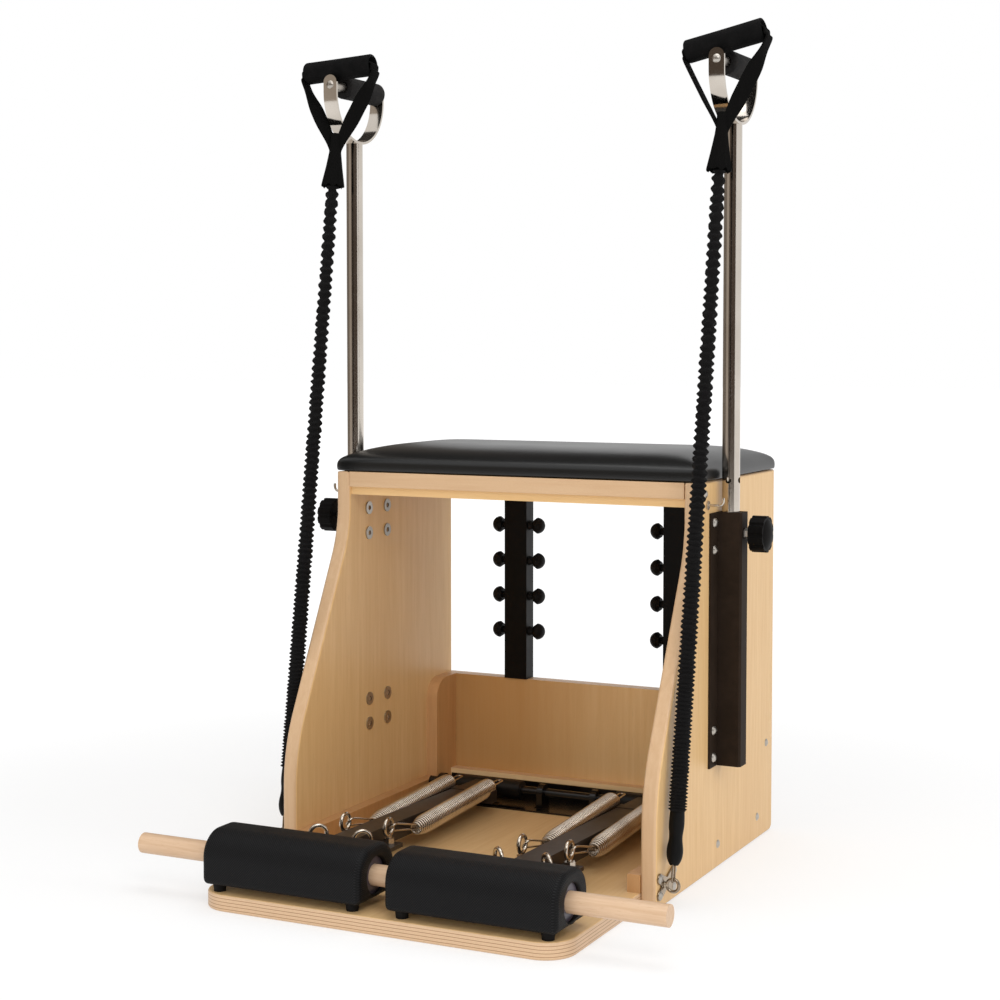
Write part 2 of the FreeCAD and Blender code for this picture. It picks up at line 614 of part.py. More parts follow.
def posts():
    """A steel tube with a flat strap yoke welded to its top."""
    middle = grip_z - s.yoke_rise
    outer = s.yoke_radius + s.yoke_thick / 2
    hole = s.yoke_radius - s.yoke_thick / 2
    top = grip_z + s.yoke_tip
    outline = [(post_y - outer, top), (post_y - outer, middle, outer, 1), (post_y, middle - outer, outer, 1),
               (post_y + outer, middle), (post_y + outer, top), (post_y + hole, top),
               (post_y + hole, middle, hole, -1), (post_y, middle - hole, hole, -1),
               (post_y - hole, middle), (post_y - hole, top)]
    strap = padded_body("yoke", "YZ_Plane", outline, s.yoke_width, (post_x - s.yoke_width / 2, 0, 0))

    def tip_corner(edge):
        bounds = edge.BoundBox
        return bounds.ZMin > top.value - s.skin_gap.value and bounds.XLength < s.skin_gap.value
    round_edges(strap, s.yoke_width / 2 - s.slide_gap, tip_corner)
    eyes = cylinder("yoke_eye", (post_x, post_y - outer - s.overrun, grip_z), plus_y,
                    s.grip_screw + s.grip_gap * 2, outer * 2 + s.overrun * 2)
    yoke = cut("yoke_drilled", strap, eyes)
    tube_top = s.yoke_low + s.weld_sink
    tube = cylinder("post_outer", (post_x, post_y, post_low), (0, 0, 1), s.post_width, tube_top - post_low)
    bore = cylinder("post_bore", (post_x, post_y, post_low - s.overrun), (0, 0, 1),
                    s.post_width - s.post_wall * 2, s.yoke_low - post_low - s.post_wall)
    holes = []
    for i in range(int(s.pin_hole_count.value)):
        z = s.pin_hole_high - s.pin_hole_pitch * i
        holes.append(cylinder(f"pin_hole_x_{i}", (post_x, post_y, z), plus_x, s.pin_hole, s.post_width))
        holes.append(cylinder(f"pin_hole_y_{i}", (post_x, post_y, z), minus_y, s.pin_hole, s.post_width))
    pair("post", fuse("post_welded", cut("post_tube", tube, bore, *holes), yoke))


def hand_grips():
    """A rod between the yoke's legs, held by a screw at each end, with a foam grip behind the strap's bar."""
    hole = s.yoke_radius - s.yoke_thick / 2
    start = s.bar_width + s.grip_gap * 2
    foam = cylinder("grip_foam", (post_x, post_y - hole + start, grip_z), plus_y, s.grip_width,
                    hole * 2 - start - s.grip_end_gap)
    bore = cylinder("grip_bore_tool", (post_x, post_y - hole, grip_z), plus_y, s.grip_bore, hole * 2)
    pair("hand_grip", cut("grip_hollow", foam, bore))
    bar = cylinder("grip_rod", (post_x, post_y - hole, grip_z), plus_y, s.rod_width, hole * 2)
    tap = cylinder("grip_tap", (post_x, post_y - hole - s.overrun, grip_z), plus_y, s.grip_screw + s.grip_gap,
                   hole * 2 + s.overrun * 2)
    parts = [cut("grip_rod_tapped", bar, tap)]
    outer = s.yoke_radius + s.yoke_thick / 2
    for i, axis in enumerate((minus_y, plus_y)):
        seat_y = post_y + outer * axis[1]
        tail_y = seat_y - s.grip_screw_length * axis[1]
        head = cap(f"grip_screw_head_{i}", (post_x, seat_y, grip_z), axis, s.grip_screw_head, s.grip_screw_dome)
        shank = cylinder(f"grip_screw_shank_{i}", (post_x, tail_y, grip_z), axis, s.grip_screw, s.grip_screw_length)
        parts.append(fuse(f"grip_screw_{i}", head, shank))
    pair("grip_rod", compound("grip_rod_set", parts))


def clamp_knobs():
    """A fluted knob with a domed end, on a threaded stud that bears on the post."""
    face = half_span + s.holder_proud + s.clamp_neck
    tip = post_x + s.post_width / 2 + s.clamp_gap
    body = cylinder("knob_body", (face, post_y, clamp_z), plus_x, s.clamp_width, s.clamp_thick)
    crown = cap("knob_crown", (face + s.clamp_thick, post_y, clamp_z), plus_x,
                s.clamp_width - s.flute_width, s.clamp_dome)
    flutes = []
    count = int(s.flute_count.value)
    for i in range(count):
        angle = Dim(360 * i / count, repr(360 * i / count))
        centre = s.clamp_width / 2 + s.flute_width / 4
        flutes.append(cylinder(f"knob_flute_{i}", (face - s.overrun, post_y + centre * cosine(angle),
                                                   clamp_z + centre * sine(angle)), plus_x, s.flute_width,
                               s.clamp_thick + s.overrun * 2))
    socket = cylinder("knob_socket", (face - s.overrun, post_y, clamp_z), plus_x,
                      s.clamp_stud + s.bolt_gap * 2, s.clamp_sink + s.overrun)
    pair("clamp_knob", cut("knob_bored", fuse("knob_whole", cut("knob_fluted", body, *flutes), crown), socket))
    stud = cylinder("knob_stud", (tip, post_y, clamp_z), plus_x, s.clamp_stud, face + s.clamp_sink - tip)
    nut = hexagon("knob_nut", (half_span + s.holder_proud + s.clamp_gap, post_y, clamp_z), plus_x, s.clamp_nut,
                  s.clamp_nut_thick)
    pair("clamp_stud", fuse("knob_stud_nut", stud, nut))


# Elastic cords with their hand straps

def cord_frame(side):
    """Anchor end, upper end and direction of a cord's straight line; side is 1 on the right."""
    foot = Vector(side * (half_span + s.eye_proud).value, (rear - s.anchor_setback).value,
                  s.anchor_high.value + s.eye_ring.value / 2)
    head = Vector(side * post_x.value + s.cord_top_shift.value, (rear - s.cord_top_setback).value, s.cord_top.value)
    return foot, head, (head - foot).normalize()


def along(shape, start, direction):
    """Moves a shape made along Z from the origin to start at a point and follow a direction."""
    shape.Placement = FreeCAD.Placement(start, FreeCAD.Rotation(Vector(0, 0, 1), direction))
    return shape


def ribbed_sleeve(length):
    """The gathered sleeve: ribs that widen apart and grow slimmer towards the hand."""
    count = int(s.rib_count.value)
    steps = [s.rib_pitch_foot.value + (s.rib_pitch_top.value - s.rib_pitch_foot.value) * i / (count - 1)
             for i in range(count)]
    scale = length / sum(steps)
    rings = []
    z = 0
    for step in steps:
        for share in RIB_SHARES:
            height = z + step * scale * share
            part = height / length
            crest = s.rib_foot.value + (s.rib_top.value - s.rib_foot.value) * part
            valley = s.valley_foot.value + (s.valley_top.value - s.valley_foot.value) * part
            width = crest if share in RIB_SHARES[1:3] else valley
            rings.append(Part.Wire(Part.Circle(Vector(0, 0, height), Vector(0, 0, 1), width / 2).toShape()))
        z += step * scale
    rings.append(Part.Wire(Part.Circle(Vector(0, 0, length), Vector(0, 0, 1), s.valley_top.value / 2).toShape()))
    bore = Part.makeCylinder(s.sleeve_bore.value / 2, length + s.overrun.value * 2, Vector(0, 0, -s.overrun.value))
    return Part.makeLoft(rings, True, True).cut(bore)


def cord_bulb(link):
    """The moulded end of a cord, slotted for the link that it hangs on."""
    length = s.bulb_length.value
    points = [Vector(s.bulb_width.value / 2 * width, 0, -length * share) for share, width in BULB_OUTLINE_SHARES]
    curve = Part.BSplineCurve()
    curve.interpolate(points)
    top, foot = Vector(0, 0, 0), Vector(0, 0, -length)
    edges = [Part.makeLine(top, points[0]), curve.toShape(), Part.makeLine(points[-1], foot), Part.makeLine(foot, top)]
    solid = Part.Face(Part.Wire(edges)).revolve(Vector(0, 0, 0), Vector(0, 0, 1), 360)
    gap = s.bulb_slot_gap.value
    wide = s.link_width.value + s.link_wire.value + gap * 2
    thin = s.link_wire.value + gap * 2
    deep = s.bulb_mouth_sink.value + gap
    slot = Part.makeBox(thin, wide, deep + s.overrun.value, Vector(-thin / 2, -wide / 2, -length - s.overrun.value))
    return solid.cut(slot)


def cords():
    ends = []
    links = []
    for side, name in ((1, "right"), (-1, "left")):
        foot, head, way = cord_frame(side)
        turn = FreeCAD.Rotation(Vector(0, 0, 1), way)
        clear = (s.eye_wire.value + s.link_wire.value) / 2 + s.bulb_slot_gap.value
        link_low = foot - Vector(0, 0, 1) * clear + way * (s.link_width.value / 2)
        bulb_foot = foot + way * (s.cord_foot.value - s.bulb_length.value)
        link_high = bulb_foot + way * (s.bulb_mouth_sink.value - (s.link_width.value + s.link_wire.value) / 2)
        across = turn.multVec(Vector(0, 1, 0))
        links.append(feature(f"cord_link_{name}", link_shape(link_low, link_high, across,
                                                             s.link_width.value, s.link_wire.value)))
        sleeve_foot = foot + way * s.cord_foot.value
        length = (head - sleeve_foot).Length
        ends.append(feature(f"cord_bulb_{name}", along(cord_bulb(None), sleeve_foot, way)))
        piece(f"cord_sleeve_{name}", feature(f"sleeve_{name}", along(ribbed_sleeve(length), sleeve_foot, way)))
        core = Part.makeCylinder(s.core_width.value / 2, length + s.bell_sink.value)
        piece(f"cord_core_{name}", feature(f"core_{name}", along(core, sleeve_foot, way)))
    piece("cord_ends", compound("cord_bulb_set", ends))
    piece("cord_links", compound("cord_link_set", links))


def web_run(start, end, normal):
    """A straight run of webbing, as wide as the strap along the normal."""
    across = normal.cross(end - start).normalize() * (s.strap_thick.value / 2)
    edge = normal * (s.strap_width.value / 2)
    ring = [start - across - edge, end - across - edge, end + across - edge, start + across - edge]
    return Part.Face(Part.makePolygon(ring + ring[:1])).extrude(edge * 2)


def hand_straps():
    """A webbing triangle through a foam bar, gathered below into a bell that holds the cord."""
    for side, name, tilt in ((1, "right", s.bar_tilt_right), (-1, "left", s.bar_tilt_left)):
        foot, head, way = cord_frame(side)
        lie = Vector(math.cos(math.radians(tilt.value)), 0, math.sin(math.radians(tilt.value)))
        centre = Vector(side * post_x.value + s.bar_shift.value,
                        (post_y - s.yoke_radius + s.yoke_thick / 2 + s.bar_width / 2 + s.grip_gap).value,
                        grip_z.value + s.bar_shift.value * lie.z / lie.x
                        + (s.rod_width / 2 + s.bar_width / 2 + s.grip_gap).value / lie.x)
        half = lie * (s.bar_length.value / 2)
        bar = Part.makeCylinder(s.bar_width.value / 2, s.bar_length.value, centre - half, lie)
        bore = Part.makeCylinder(s.bar_bore.value / 2, s.bar_length.value, centre - half, lie)
        piece(f"strap_bar_{name}", feature(f"bar_{name}", bar.cut(bore)))
        neck = head + way * (s.bell_length.value + s.neck_length.value)
        normal = half.cross(neck - centre).normalize()
        reach = lie * ((s.bar_length + s.strap_thick).value / 2 + s.grip_gap.value)
        drop = normal.cross(lie) * ((s.bar_width + s.strap_thick).value / 2)
        corners = [neck, centre - reach + drop, centre - reach, centre + reach, centre + reach + drop, neck]
        runs = [web_run(a, b, normal) for a, b in zip(corners, corners[1:])]
        folds = [Part.makeCylinder(s.strap_thick.value / 2, s.strap_width.value,
                                   corner - normal * (s.strap_width.value / 2), normal) for corner in corners[:-1]]
        web = runs[0].multiFuse(runs[1:] + folds)
        bell = Part.makeCone(s.bell_width.value / 2, s.neck_width.value / 2, s.bell_length.value)
        throat = Part.makeCylinder(s.neck_width.value / 2, s.neck_length.value + s.strap_width.value / 2,
                                   Vector(0, 0, s.bell_length.value))
        hollow = Part.makeCylinder(s.sleeve_bore.value / 2, s.bell_sink.value + s.skin_gap.value)
        bell = along(bell.fuse(throat).cut(hollow), head, way)
        piece(f"hand_strap_{name}", feature(f"strap_{name}", web.fuse(bell).removeSplitter()))


def cord_anchors():
    """A four-screw plate with a ring eye, low on the outer face of each panel."""
    centre_y = rear - s.anchor_setback
    far_y = centre_y + s.anchor_lead + s.anchor_length / 2
    near_y = far_y - s.anchor_length
    high, low = s.anchor_high + s.anchor_width / 2, s.anchor_high - s.anchor_width / 2
    corner = s.anchor_corner
    outline = [(far_y, high - corner, corner, 1), (far_y - corner, high), (near_y + corner, high, corner, 1),
               (near_y, high - corner), (near_y, low + corner, corner, 1), (near_y + corner, low),
               (far_y - corner, low, corner, 1), (far_y, low + corner)]
    plate = padded_body("anchor_plate", "YZ_Plane", outline, s.anchor_plate, (half_span, 0, 0))
    ring = doc.addObject("Part::Torus", "anchor_eye")
    bind(ring, Radius1=s.eye_ring / 2, Radius2=s.eye_wire / 2)
    place(ring, (half_span + s.eye_proud, centre_y, s.anchor_high), plus_y)
    stem = cylinder("anchor_stem", (half_span, centre_y, s.anchor_high), plus_x, s.eye_wire * 2,
                    s.eye_proud - s.eye_ring / 2)
    blank = fuse("anchor_blank", ring, stem, plate)
    holes = [cylinder(f"anchor_hole_{i}", (half_span - s.overrun, y, z), plus_x, s.screw_width + s.screw_gap * 2,
                      s.anchor_plate + s.overrun * 2) for i, (y, z) in enumerate(anchor_screw_places())]
    piece("cord_anchors", compound("anchor_pair", both("anchor", [cut("anchor_drilled", blank, *holes)])))


def storage_hooks():
    """An open wire hook on a round foot, near the top front of each panel."""
    y = (rear - s.hook_setback).value
    z = s.hook_high.value
    x = half_span.value
    out = x + s.hook_reach.value
    bend = s.hook_bend.value
    middle = Vector(out, y, z + bend)
    start = Vector(x, y, z)
    low = Vector(out, y, z)
    tip = Vector(out + bend, y, z + bend)
    quarter = middle + Vector(1, 0, -1).normalize() * bend
    path = Part.Wire([Part.makeLine(start, low), Part.Arc(low, quarter, tip).toShape(),
                      Part.makeLine(tip, tip + Vector(0, 0, s.hook_rise.value))])
    disc = Part.makeCylinder(s.hook_plate_width.value / 2, s.hook_plate.value, start, Vector(1, 0, 0))
    hook = feature("hook", rod(path, s.hook_wire.value).fuse(disc).removeSplitter())
    piece("storage_hooks", compound("hook_pair", both("hook", [hook])))


# Axle

def axle():
    shaft_half = inner - s.axle_side_gap
    piece("axle_shaft", cylinder("shaft", (-shaft_half, axle_y, s.axle_high), plus_x, s.axle_width, shaft_half * 2))
    low = (-plate_half, axle_y - s.plate_front, s.base_thick)
    flat = box("plate_flat", low, (plate_half * 2, s.plate_depth, s.plate_thick))
    lip = box("plate_lip_strip", (low[0], low[1] + s.plate_depth - s.plate_thick, s.base_thick),
              (plate_half * 2, s.plate_thick, s.plate_lip))
    tools = []
    for i in range(4):
        x = s.slot_spacing * (i - 1.5)
        tools.append(box(f"plate_slot_{i}", (x - s.slot_length / 2, low[1] + s.slot_setback, s.base_thick - s.overrun),
                         (s.slot_length, s.slot_width, s.plate_thick + s.overrun * 2)))
    holes = [cylinder(f"plate_hole_{i}", (x, y, s.base_thick - s.overrun), (0, 0, 1),
                      s.screw_width + s.screw_gap * 2, s.plate_thick + s.overrun * 2)
             for i, (x, y) in enumerate(plate_screw_places())]
    piece("axle_plate", cut("plate_cut", fuse("plate_bent", flat, lip), *tools, *both("plate_hole", holes)))
    blocks = []
    foot = s.base_thick + s.plate_thick
    for name, x in (("inner", block_inner), ("outer", block_outer)):
        post = box(f"block_post_{name}", (x - s.block_thick / 2, axle_y - s.block_width / 2, foot),
                   (s.block_thick, s.block_width, s.axle_high - foot))
        crown = cylinder(f"block_crown_{name}", (x - s.block_thick / 2, axle_y, s.axle_high), plus_x,
                         s.block_width, s.block_thick)
        bore = cylinder(f"block_bore_{name}", (x - s.block_thick, axle_y, s.axle_high), plus_x,
                        s.axle_width + s.axle_gap * 2, s.block_thick * 2)
        blocks.append(cut(f"block_{name}", fuse(f"block_blank_{name}", post, crown), bore))
    piece("bearing_blocks", compound("block_set", both("block", blocks)))


# Pedals

def arched(name, inset, floor, start, length):
    """A length of the pedal's section: upright sides and a broad top with large round shoulders."""
    half = s.pad_half - inset
    top = s.dowel_high + s.pad_top - inset
    corner = s.pad_corner - inset
    outline = [(dowel_y + half, top - corner, corner, 1), (dowel_y + half - corner, top),
               (dowel_y - half + corner, top, corner, 1), (dowel_y - half, top - corner),
               (dowel_y - half, floor), (dowel_y + half, floor)]
    return padded_body(name, "YZ_Plane", outline, length, (start, 0, 0))


def along_dowel(name, width, start, length):
    """A round bar or cutter about the dowel's axis."""
    return cylinder(name, (start, dowel_y, s.dowel_high), plus_x, width, length)


def dowel_bore(name):
    return along_dowel(name, s.dowel_width + s.dowel_gap * 2, pedal_x - pedal_length, pedal_length * 2)


def pedal_pads():
    """A padded wrap with a round opening in each end, over a wooden core and two round end plates."""
    start = s.pedal_split / 2
    end = start + pedal_length
    hollow_floor = s.pad_floor + s.pad_base
    skin = arched("wrap_outside", dim(0), s.pad_floor, start, pedal_length)
    hollow = arched("wrap_inside", s.pad_wrap, hollow_floor, start + s.end_wall, pedal_length - s.end_wall * 2)
    ends = along_dowel("wrap_ends", s.end_width, start - s.overrun, pedal_length + s.overrun * 2)
    gate = box("wrap_gate", (pedal_x - s.arm_width / 2 - s.wrap_gap, dowel_y, s.arm_front_low - s.wrap_gap),
               (s.arm_width + s.wrap_gap * 2, s.pad_half * 2, s.arm_front_high - s.arm_front_low + s.wrap_gap * 2))
    pair("pedal_pad", cut("wrap_open", skin, hollow, ends, gate))
    inset = s.end_wall + s.wrap_gap
    core = arched("core_blank", s.pad_wrap + s.wrap_gap, hollow_floor + s.wrap_gap, start + inset,
                  pedal_length - inset * 2)
    pair("pedal_core", cut("core_bored", core, dowel_bore("core_bore")))
    plates = []
    for i, x in enumerate((start + inset - s.end_plate, end - inset)):
        blank = along_dowel(f"end_blank_{i}", s.end_width - s.wrap_gap * 2, x, s.end_plate)
        plates.append(cut(f"end_bored_{i}", blank, dowel_bore(f"end_bore_{i}")))
    pair("pedal_end_plates", compound("end_plate_set", plates))
    bumpers = []
    for i, sign in enumerate((-1, 1)):
        foot = doc.addObject("Part::Cone", f"bumper_{i}")
        bind(foot, Radius1=s.bumper_foot / 2, Radius2=s.bumper_top / 2,
             Height=s.pad_floor - s.base_thick - s.rest_gap)
        place(foot, (pedal_x + (pedal_length / 2 - s.bumper_end) * sign, dowel_y - s.pad_half + s.bumper_inset,
                     s.base_thick + s.rest_gap))
        bumpers.append(foot)
    pair("pedal_bumpers", compound("bumper_set", bumpers))


def eye_places():
    """Where a pedal's eye bolts stand, the front row first."""
    return [(pedal_x + s.eye_spread / 2 * sign, y) for y in (eye_front, eye_rear) for sign in (-1, 1)]


def pedal_frames():
    """A welded frame: arm, wings for the eye bolts, cradles for the springs and the hub."""
    core_rear = dowel_y + s.pad_half - s.pad_wrap - s.wrap_gap
    outline = [(core_rear, s.arm_front_low), (axle_y, s.arm_rear_low), (axle_y, s.arm_rear_high),
               (core_rear, s.arm_front_high)]
    arm = padded_body("arm", "YZ_Plane", outline, s.arm_width, (pedal_x - s.arm_width / 2, 0, 0))
    wing_span = s.arm_width + s.wing_reach * 2
    wing = box("wing", (pedal_x - wing_span / 2, dowel_y + s.wing_setback, s.wing_high - s.wing_thick),
               (wing_span, s.wing_length, s.wing_thick))
    hub = cylinder("hub", (pedal_x - hub_length / 2, axle_y, s.axle_high), plus_x, s.hub_width, hub_length)
    cradle_y = spring_rear - s.cradle_rear
    foot_z = s.spring_rear_high - s.spring_width / 2 - s.cradle_wall
    cradle = box("cradle", (pedal_x - wing_span / 2, cradle_y, foot_z),
                 (wing_span, s.cradle_length, s.spring_width / 2 + s.cradle_wall - s.spring_wire))
    frame = fuse("frame_blank", arm, wing, hub, cradle)
    tools = [cylinder("hub_bore", (pedal_x - hub_length, axle_y, s.axle_high), plus_x,
                      s.bush_width + s.bush_gap * 2, hub_length * 2)]
    for i, (x, y) in enumerate(eye_places()):
        tools.append(cylinder(f"eye_hole_{i}", (x, y, s.wing_high - s.wing_thick - s.overrun), (0, 0, 1),
                              s.bolt_tail + s.bolt_tail_gap * 2, s.wing_thick + s.overrun * 2))
    slope = spring_direction()
    for i, sign in enumerate((-1, 1)):
        x = pedal_x + s.eye_spread / 2 * sign
        groove = cylinder(f"cradle_groove_{i}", (x, spring_front, s.spring_front_high), slope,
                          s.spring_width + s.spring_wire + s.cradle_gap * 2, spring_rear - spring_front)
        tools.append(groove)
    pair("pedal_frame", cut("frame_bored", frame, *tools))
    bushes = []
    for i, sign in enumerate((-1, 1)):
        end = pedal_x + hub_length / 2 * sign - s.bush_length * (sign + 1) / 2
        outer = cylinder(f"bush_outer_{i}", (end, axle_y, s.axle_high), plus_x, s.bush_width, s.bush_length)
        bore = cylinder(f"bush_bore_{i}", (end - s.overrun, axle_y, s.axle_high), plus_x,
                        s.axle_width + s.axle_gap * 2, s.bush_length + s.overrun * 2)
        bushes.append(cut(f"bush_{i}", outer, bore))
    pair("hub_bushes", compound("bush_set", bushes))


def eye_bolts():
    """Four eye bolts on a pedal's wings; the free front pair is turned aside."""
    bolts = []
    for i, (x, y) in enumerate(eye_places()):
        yaw = math.radians(s.bolt_eye_yaw.value) if i < 2 else 0
        ring = doc.addObject("Part::Torus", f"eye_ring_{i}")
        bind(ring, Radius1=s.bolt_eye / 2, Radius2=s.bolt_eye_wire / 2)
        place(ring, (x, y, s.bolt_eye_high), (math.cos(yaw), math.sin(yaw), 0))
        low = s.wing_high - s.wing_thick - s.bolt_under
        tail = cylinder(f"eye_tail_{i}", (x, y, low), (0, 0, 1), s.bolt_tail, s.bolt_eye_high - s.bolt_eye / 2 - low)
        collar = hexagon(f"eye_collar_{i}", (x, y, s.wing_high), (0, 0, 1), s.bolt_collar, s.bolt_collar_high)
        bolts.append(fuse(f"eye_bolt_{i}", ring, tail, collar))
    pair("eye_bolts", compound("eye_bolt_set", bolts))


def spring_direction():
    run = Vector(0, (spring_rear - spring_front).value, (s.spring_rear_high - s.spring_front_high).value)
    return tuple(run.normalize())


def biarc(start, start_way, end, end_way):
    """Two tangent arcs from a point and direction to another."""
    span = end - start
    ways = start_way + end_way
    square = 2 * (1 - start_way.dot(end_way))
    reach = (-span.dot(ways) + math.sqrt(span.dot(ways) ** 2 + square * span.dot(span))) / square
    first = start + start_way * reach
    second = end - end_way * reach
    middle = (first + second) / 2
    return [tangent_arc(start, first, middle), tangent_arc(middle, second, end)]


def tangent_arc(start, corner, end):
    """The arc from start to end whose end tangents meet at the corner."""
    chord = (start + end) / 2
    half = (end - start).Length / 2
    sag = corner - chord
    angle = math.atan2(sag.Length, half)
    return Part.Arc(start, chord + sag.normalize() * (half * math.tan(angle / 2)), end).toShape()


def spring_shape(length):
    """A coil spring along Z from the origin: one tube, drawn in at both ends."""
    coils = s.spring_coils.value
    wire = s.spring_wire.value
    pitch = (length - wire) / coils

    def radius(turns):
        from_mouth = min(1, turns / s.mouth_taper.value)
        from_tail = min(1, (coils - turns) / s.tail_taper.value)
        full = s.spring_width.value
        mouth = s.mouth_width.value + (full - s.mouth_width.value) * math.sin(from_mouth * math.pi / 2)
        tail = s.tail_width.value + (full - s.tail_width.value) * math.sin(from_tail * math.pi / 2)
        return min(mouth, tail) / 2

    points = []
    ways = []
    step = 1 / s.spring_coils.value ** 2
    for k in range(int(2 * coils) + 1):
        turns = k / 2
        angle = math.pi * k
        r = radius(turns)
        growth = (radius(min(coils, turns + step)) - radius(max(0, turns - step))) / (2 * step)
        points.append(Vector(r * math.cos(angle), r * math.sin(angle), wire / 2 + pitch * turns))
        ways.append(Vector(growth * math.cos(angle) - 2 * math.pi * r * math.sin(angle),
                           growth * math.sin(angle) + 2 * math.pi * r * math.cos(angle), pitch).normalize())
    edges = [Part.makeLine(points[0] - ways[0] * wire, points[0])]
    for k in range(len(points) - 1):
        edges += biarc(points[k], ways[k], points[k + 1], ways[k + 1])
    edges.append(Part.makeLine(points[-1], points[-1] + ways[-1] * wire))
    return rod(Part.Wire(edges), wire), self_gap(edges, wire)


def self_gap(edges, wire):
    """Least gap between one turn of a tube and the next, measured on points of its centre line."""
    samples = [p for edge in edges for p in edge.discretize(6)[:-1]]
    turn = 4 * 5
    least = min((samples[i] - samples[j]).Length for i in range(len(samples))
                for j in range(i + turn // 2, min(i + turn * 2, len(samples))))
    return least - wire


def springs():
    """Two springs a pedal, each hung on its rear eye bolt and stowed in its cradle, with a loop behind."""
    way = Vector(*spring_direction())
    start_z = s.spring_front_high.value
    parts = []
    gaps = []
    for i, sign in enumerate((-1, 1)):
        x = (pedal_x + s.eye_spread / 2 * sign).value
        start = Vector(x, spring_front.value, start_z)
        end = Vector(x, spring_rear.value, s.spring_rear_high.value)
        coil, gap = spring_shape((end - start).Length)
        gaps.append(gap)
        parts.append(feature(f"spring_{i}", along(coil, start, way)))
        eye = Vector(x, eye_rear.value, s.bolt_eye_high.value)
        aim = start + way * s.mouth_depth.value
        run = (aim - eye).normalize()
        inside = (s.bolt_eye - s.bolt_eye_wire).value / 2 - s.spring_link_wire.value / 2 - s.skin_gap.value
        half = s.spring_link_width.value / 2
        hook = link_shape(eye + run * (inside + half), aim - run * half, Vector(1, 0, 0),
                          s.spring_link_width.value, s.spring_link_wire.value)
        parts.append(feature(f"spring_hook_{i}", hook))
        tail = end - way * s.mouth_depth.value
        loop = link_shape(tail, tail + way * s.tail_loop.value, Vector(1, 0, 0),
                          s.spring_link_width.value, s.spring_link_wire.value)
        parts.append(feature(f"spring_loop_{i}", loop))
    print("least gap of a spring to itself:", round(min(gaps), 2))
    pair("springs", compound("spring_set", parts))


def dowel():
    piece("dowel", cylinder("dowel_bar", (-s.dowel_length / 2, dowel_y, s.dowel_high), plus_x, s.dowel_width,
                            s.dowel_length))


for make in (side_panel, base_board, boards, cleats, seat_pad, spring_trees, post_holders, holder_fasteners,
             wood_screws, posts, hand_grips, clamp_knobs, cords, hand_straps, cord_anchors, storage_hooks, axle,
             pedal_pads, pedal_frames, eye_bolts, springs, dowel):
    make()

doc.recompute()
failed = [item.Name for item in doc.Objects if "Invalid" in item.State or "Error" in item.State]
failed += [label for label, item in pieces.items() if item.Shape.isNull() or not item.Shape.isValid()]
if failed:
    raise RuntimeError("not built: " + ", ".join(failed))
os.makedirs("parts", exist_ok=True)
for label, item in pieces.items():
    item.Shape.exportStep(f"parts/{label}.step")
print(len(pieces), "pieces")
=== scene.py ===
import math

import bmesh
import bpy
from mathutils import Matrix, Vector, noise


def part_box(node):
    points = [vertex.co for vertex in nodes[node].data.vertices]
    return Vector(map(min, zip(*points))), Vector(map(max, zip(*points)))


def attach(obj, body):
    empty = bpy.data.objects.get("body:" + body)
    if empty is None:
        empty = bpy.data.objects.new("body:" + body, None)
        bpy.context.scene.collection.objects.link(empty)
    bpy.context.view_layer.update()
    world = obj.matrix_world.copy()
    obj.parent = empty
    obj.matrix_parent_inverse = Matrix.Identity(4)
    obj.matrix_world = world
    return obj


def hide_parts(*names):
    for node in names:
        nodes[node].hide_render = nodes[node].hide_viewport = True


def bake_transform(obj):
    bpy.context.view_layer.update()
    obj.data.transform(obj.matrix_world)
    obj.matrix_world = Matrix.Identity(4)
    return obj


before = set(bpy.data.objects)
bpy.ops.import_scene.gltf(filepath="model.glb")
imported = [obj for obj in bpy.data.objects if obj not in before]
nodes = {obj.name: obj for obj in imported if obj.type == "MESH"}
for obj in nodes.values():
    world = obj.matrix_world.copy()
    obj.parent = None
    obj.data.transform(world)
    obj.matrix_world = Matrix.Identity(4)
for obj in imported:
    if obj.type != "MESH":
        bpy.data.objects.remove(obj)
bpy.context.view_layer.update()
scene = bpy.context.scene
MM = 0.001
SIDES = {"left": -1, "right": 1}
SOFT_GAP = 0.3 * MM


# Mesh helpers

def middle_half(node):
    """The middle of a node's box, and half its size."""
    low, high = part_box(node)
    return (low + high) / 2, (high - low) / 2


def shade_smooth(mesh):
    """Shade every face of a mesh smooth."""
    mesh.polygons.foreach_set("use_smooth", [True] * len(mesh.polygons))


def make_object(name, verts, faces, material, smooth=True, uvs=None):
    """A new object with one material, and with one UV place for each point where these are given."""
    mesh = bpy.data.meshes.new(name)
    mesh.from_pydata([tuple(v) for v in verts], [], faces)
    mesh.validate()
    mesh.update()
    if smooth:
        shade_smooth(mesh)
    if uvs is not None:
        layer = mesh.uv_layers.new(name="UVMap")
        for loop in mesh.loops:
            layer.data[loop.index].uv = uvs[loop.vertex_index]
    obj = bpy.data.objects.new(name, mesh)
    scene.collection.objects.link(obj)
    obj.data.materials.append(material)
    return obj


def join_parts(parts):
    """One list of points and faces from several."""
    verts = []
    faces = []
    for part_verts, part_faces in parts:
        start = len(verts)
        verts += [tuple(v) for v in part_verts]
        faces += [tuple(i + start for i in f) for f in part_faces]
    return verts, faces


def ring_faces(rows, sides, closed=False):
    """Faces of a tube made of rows of points."""
    faces = []
    for i in range(rows if closed else rows - 1):
        j = (i + 1) % rows
        for k in range(sides):
            m = (k + 1) % sides
            faces.append((i * sides + k, i * sides + m, j * sides + m, j * sides + k))
    return faces


def circle(centre, across, other, radius, sides):
    """Points round a circle in the plane of two directions."""
    points = []
    for k in range(sides):
        a = 2 * math.pi * k / sides
        points.append(centre + across * (radius * math.cos(a)) + other * (radius * math.sin(a)))
    return points


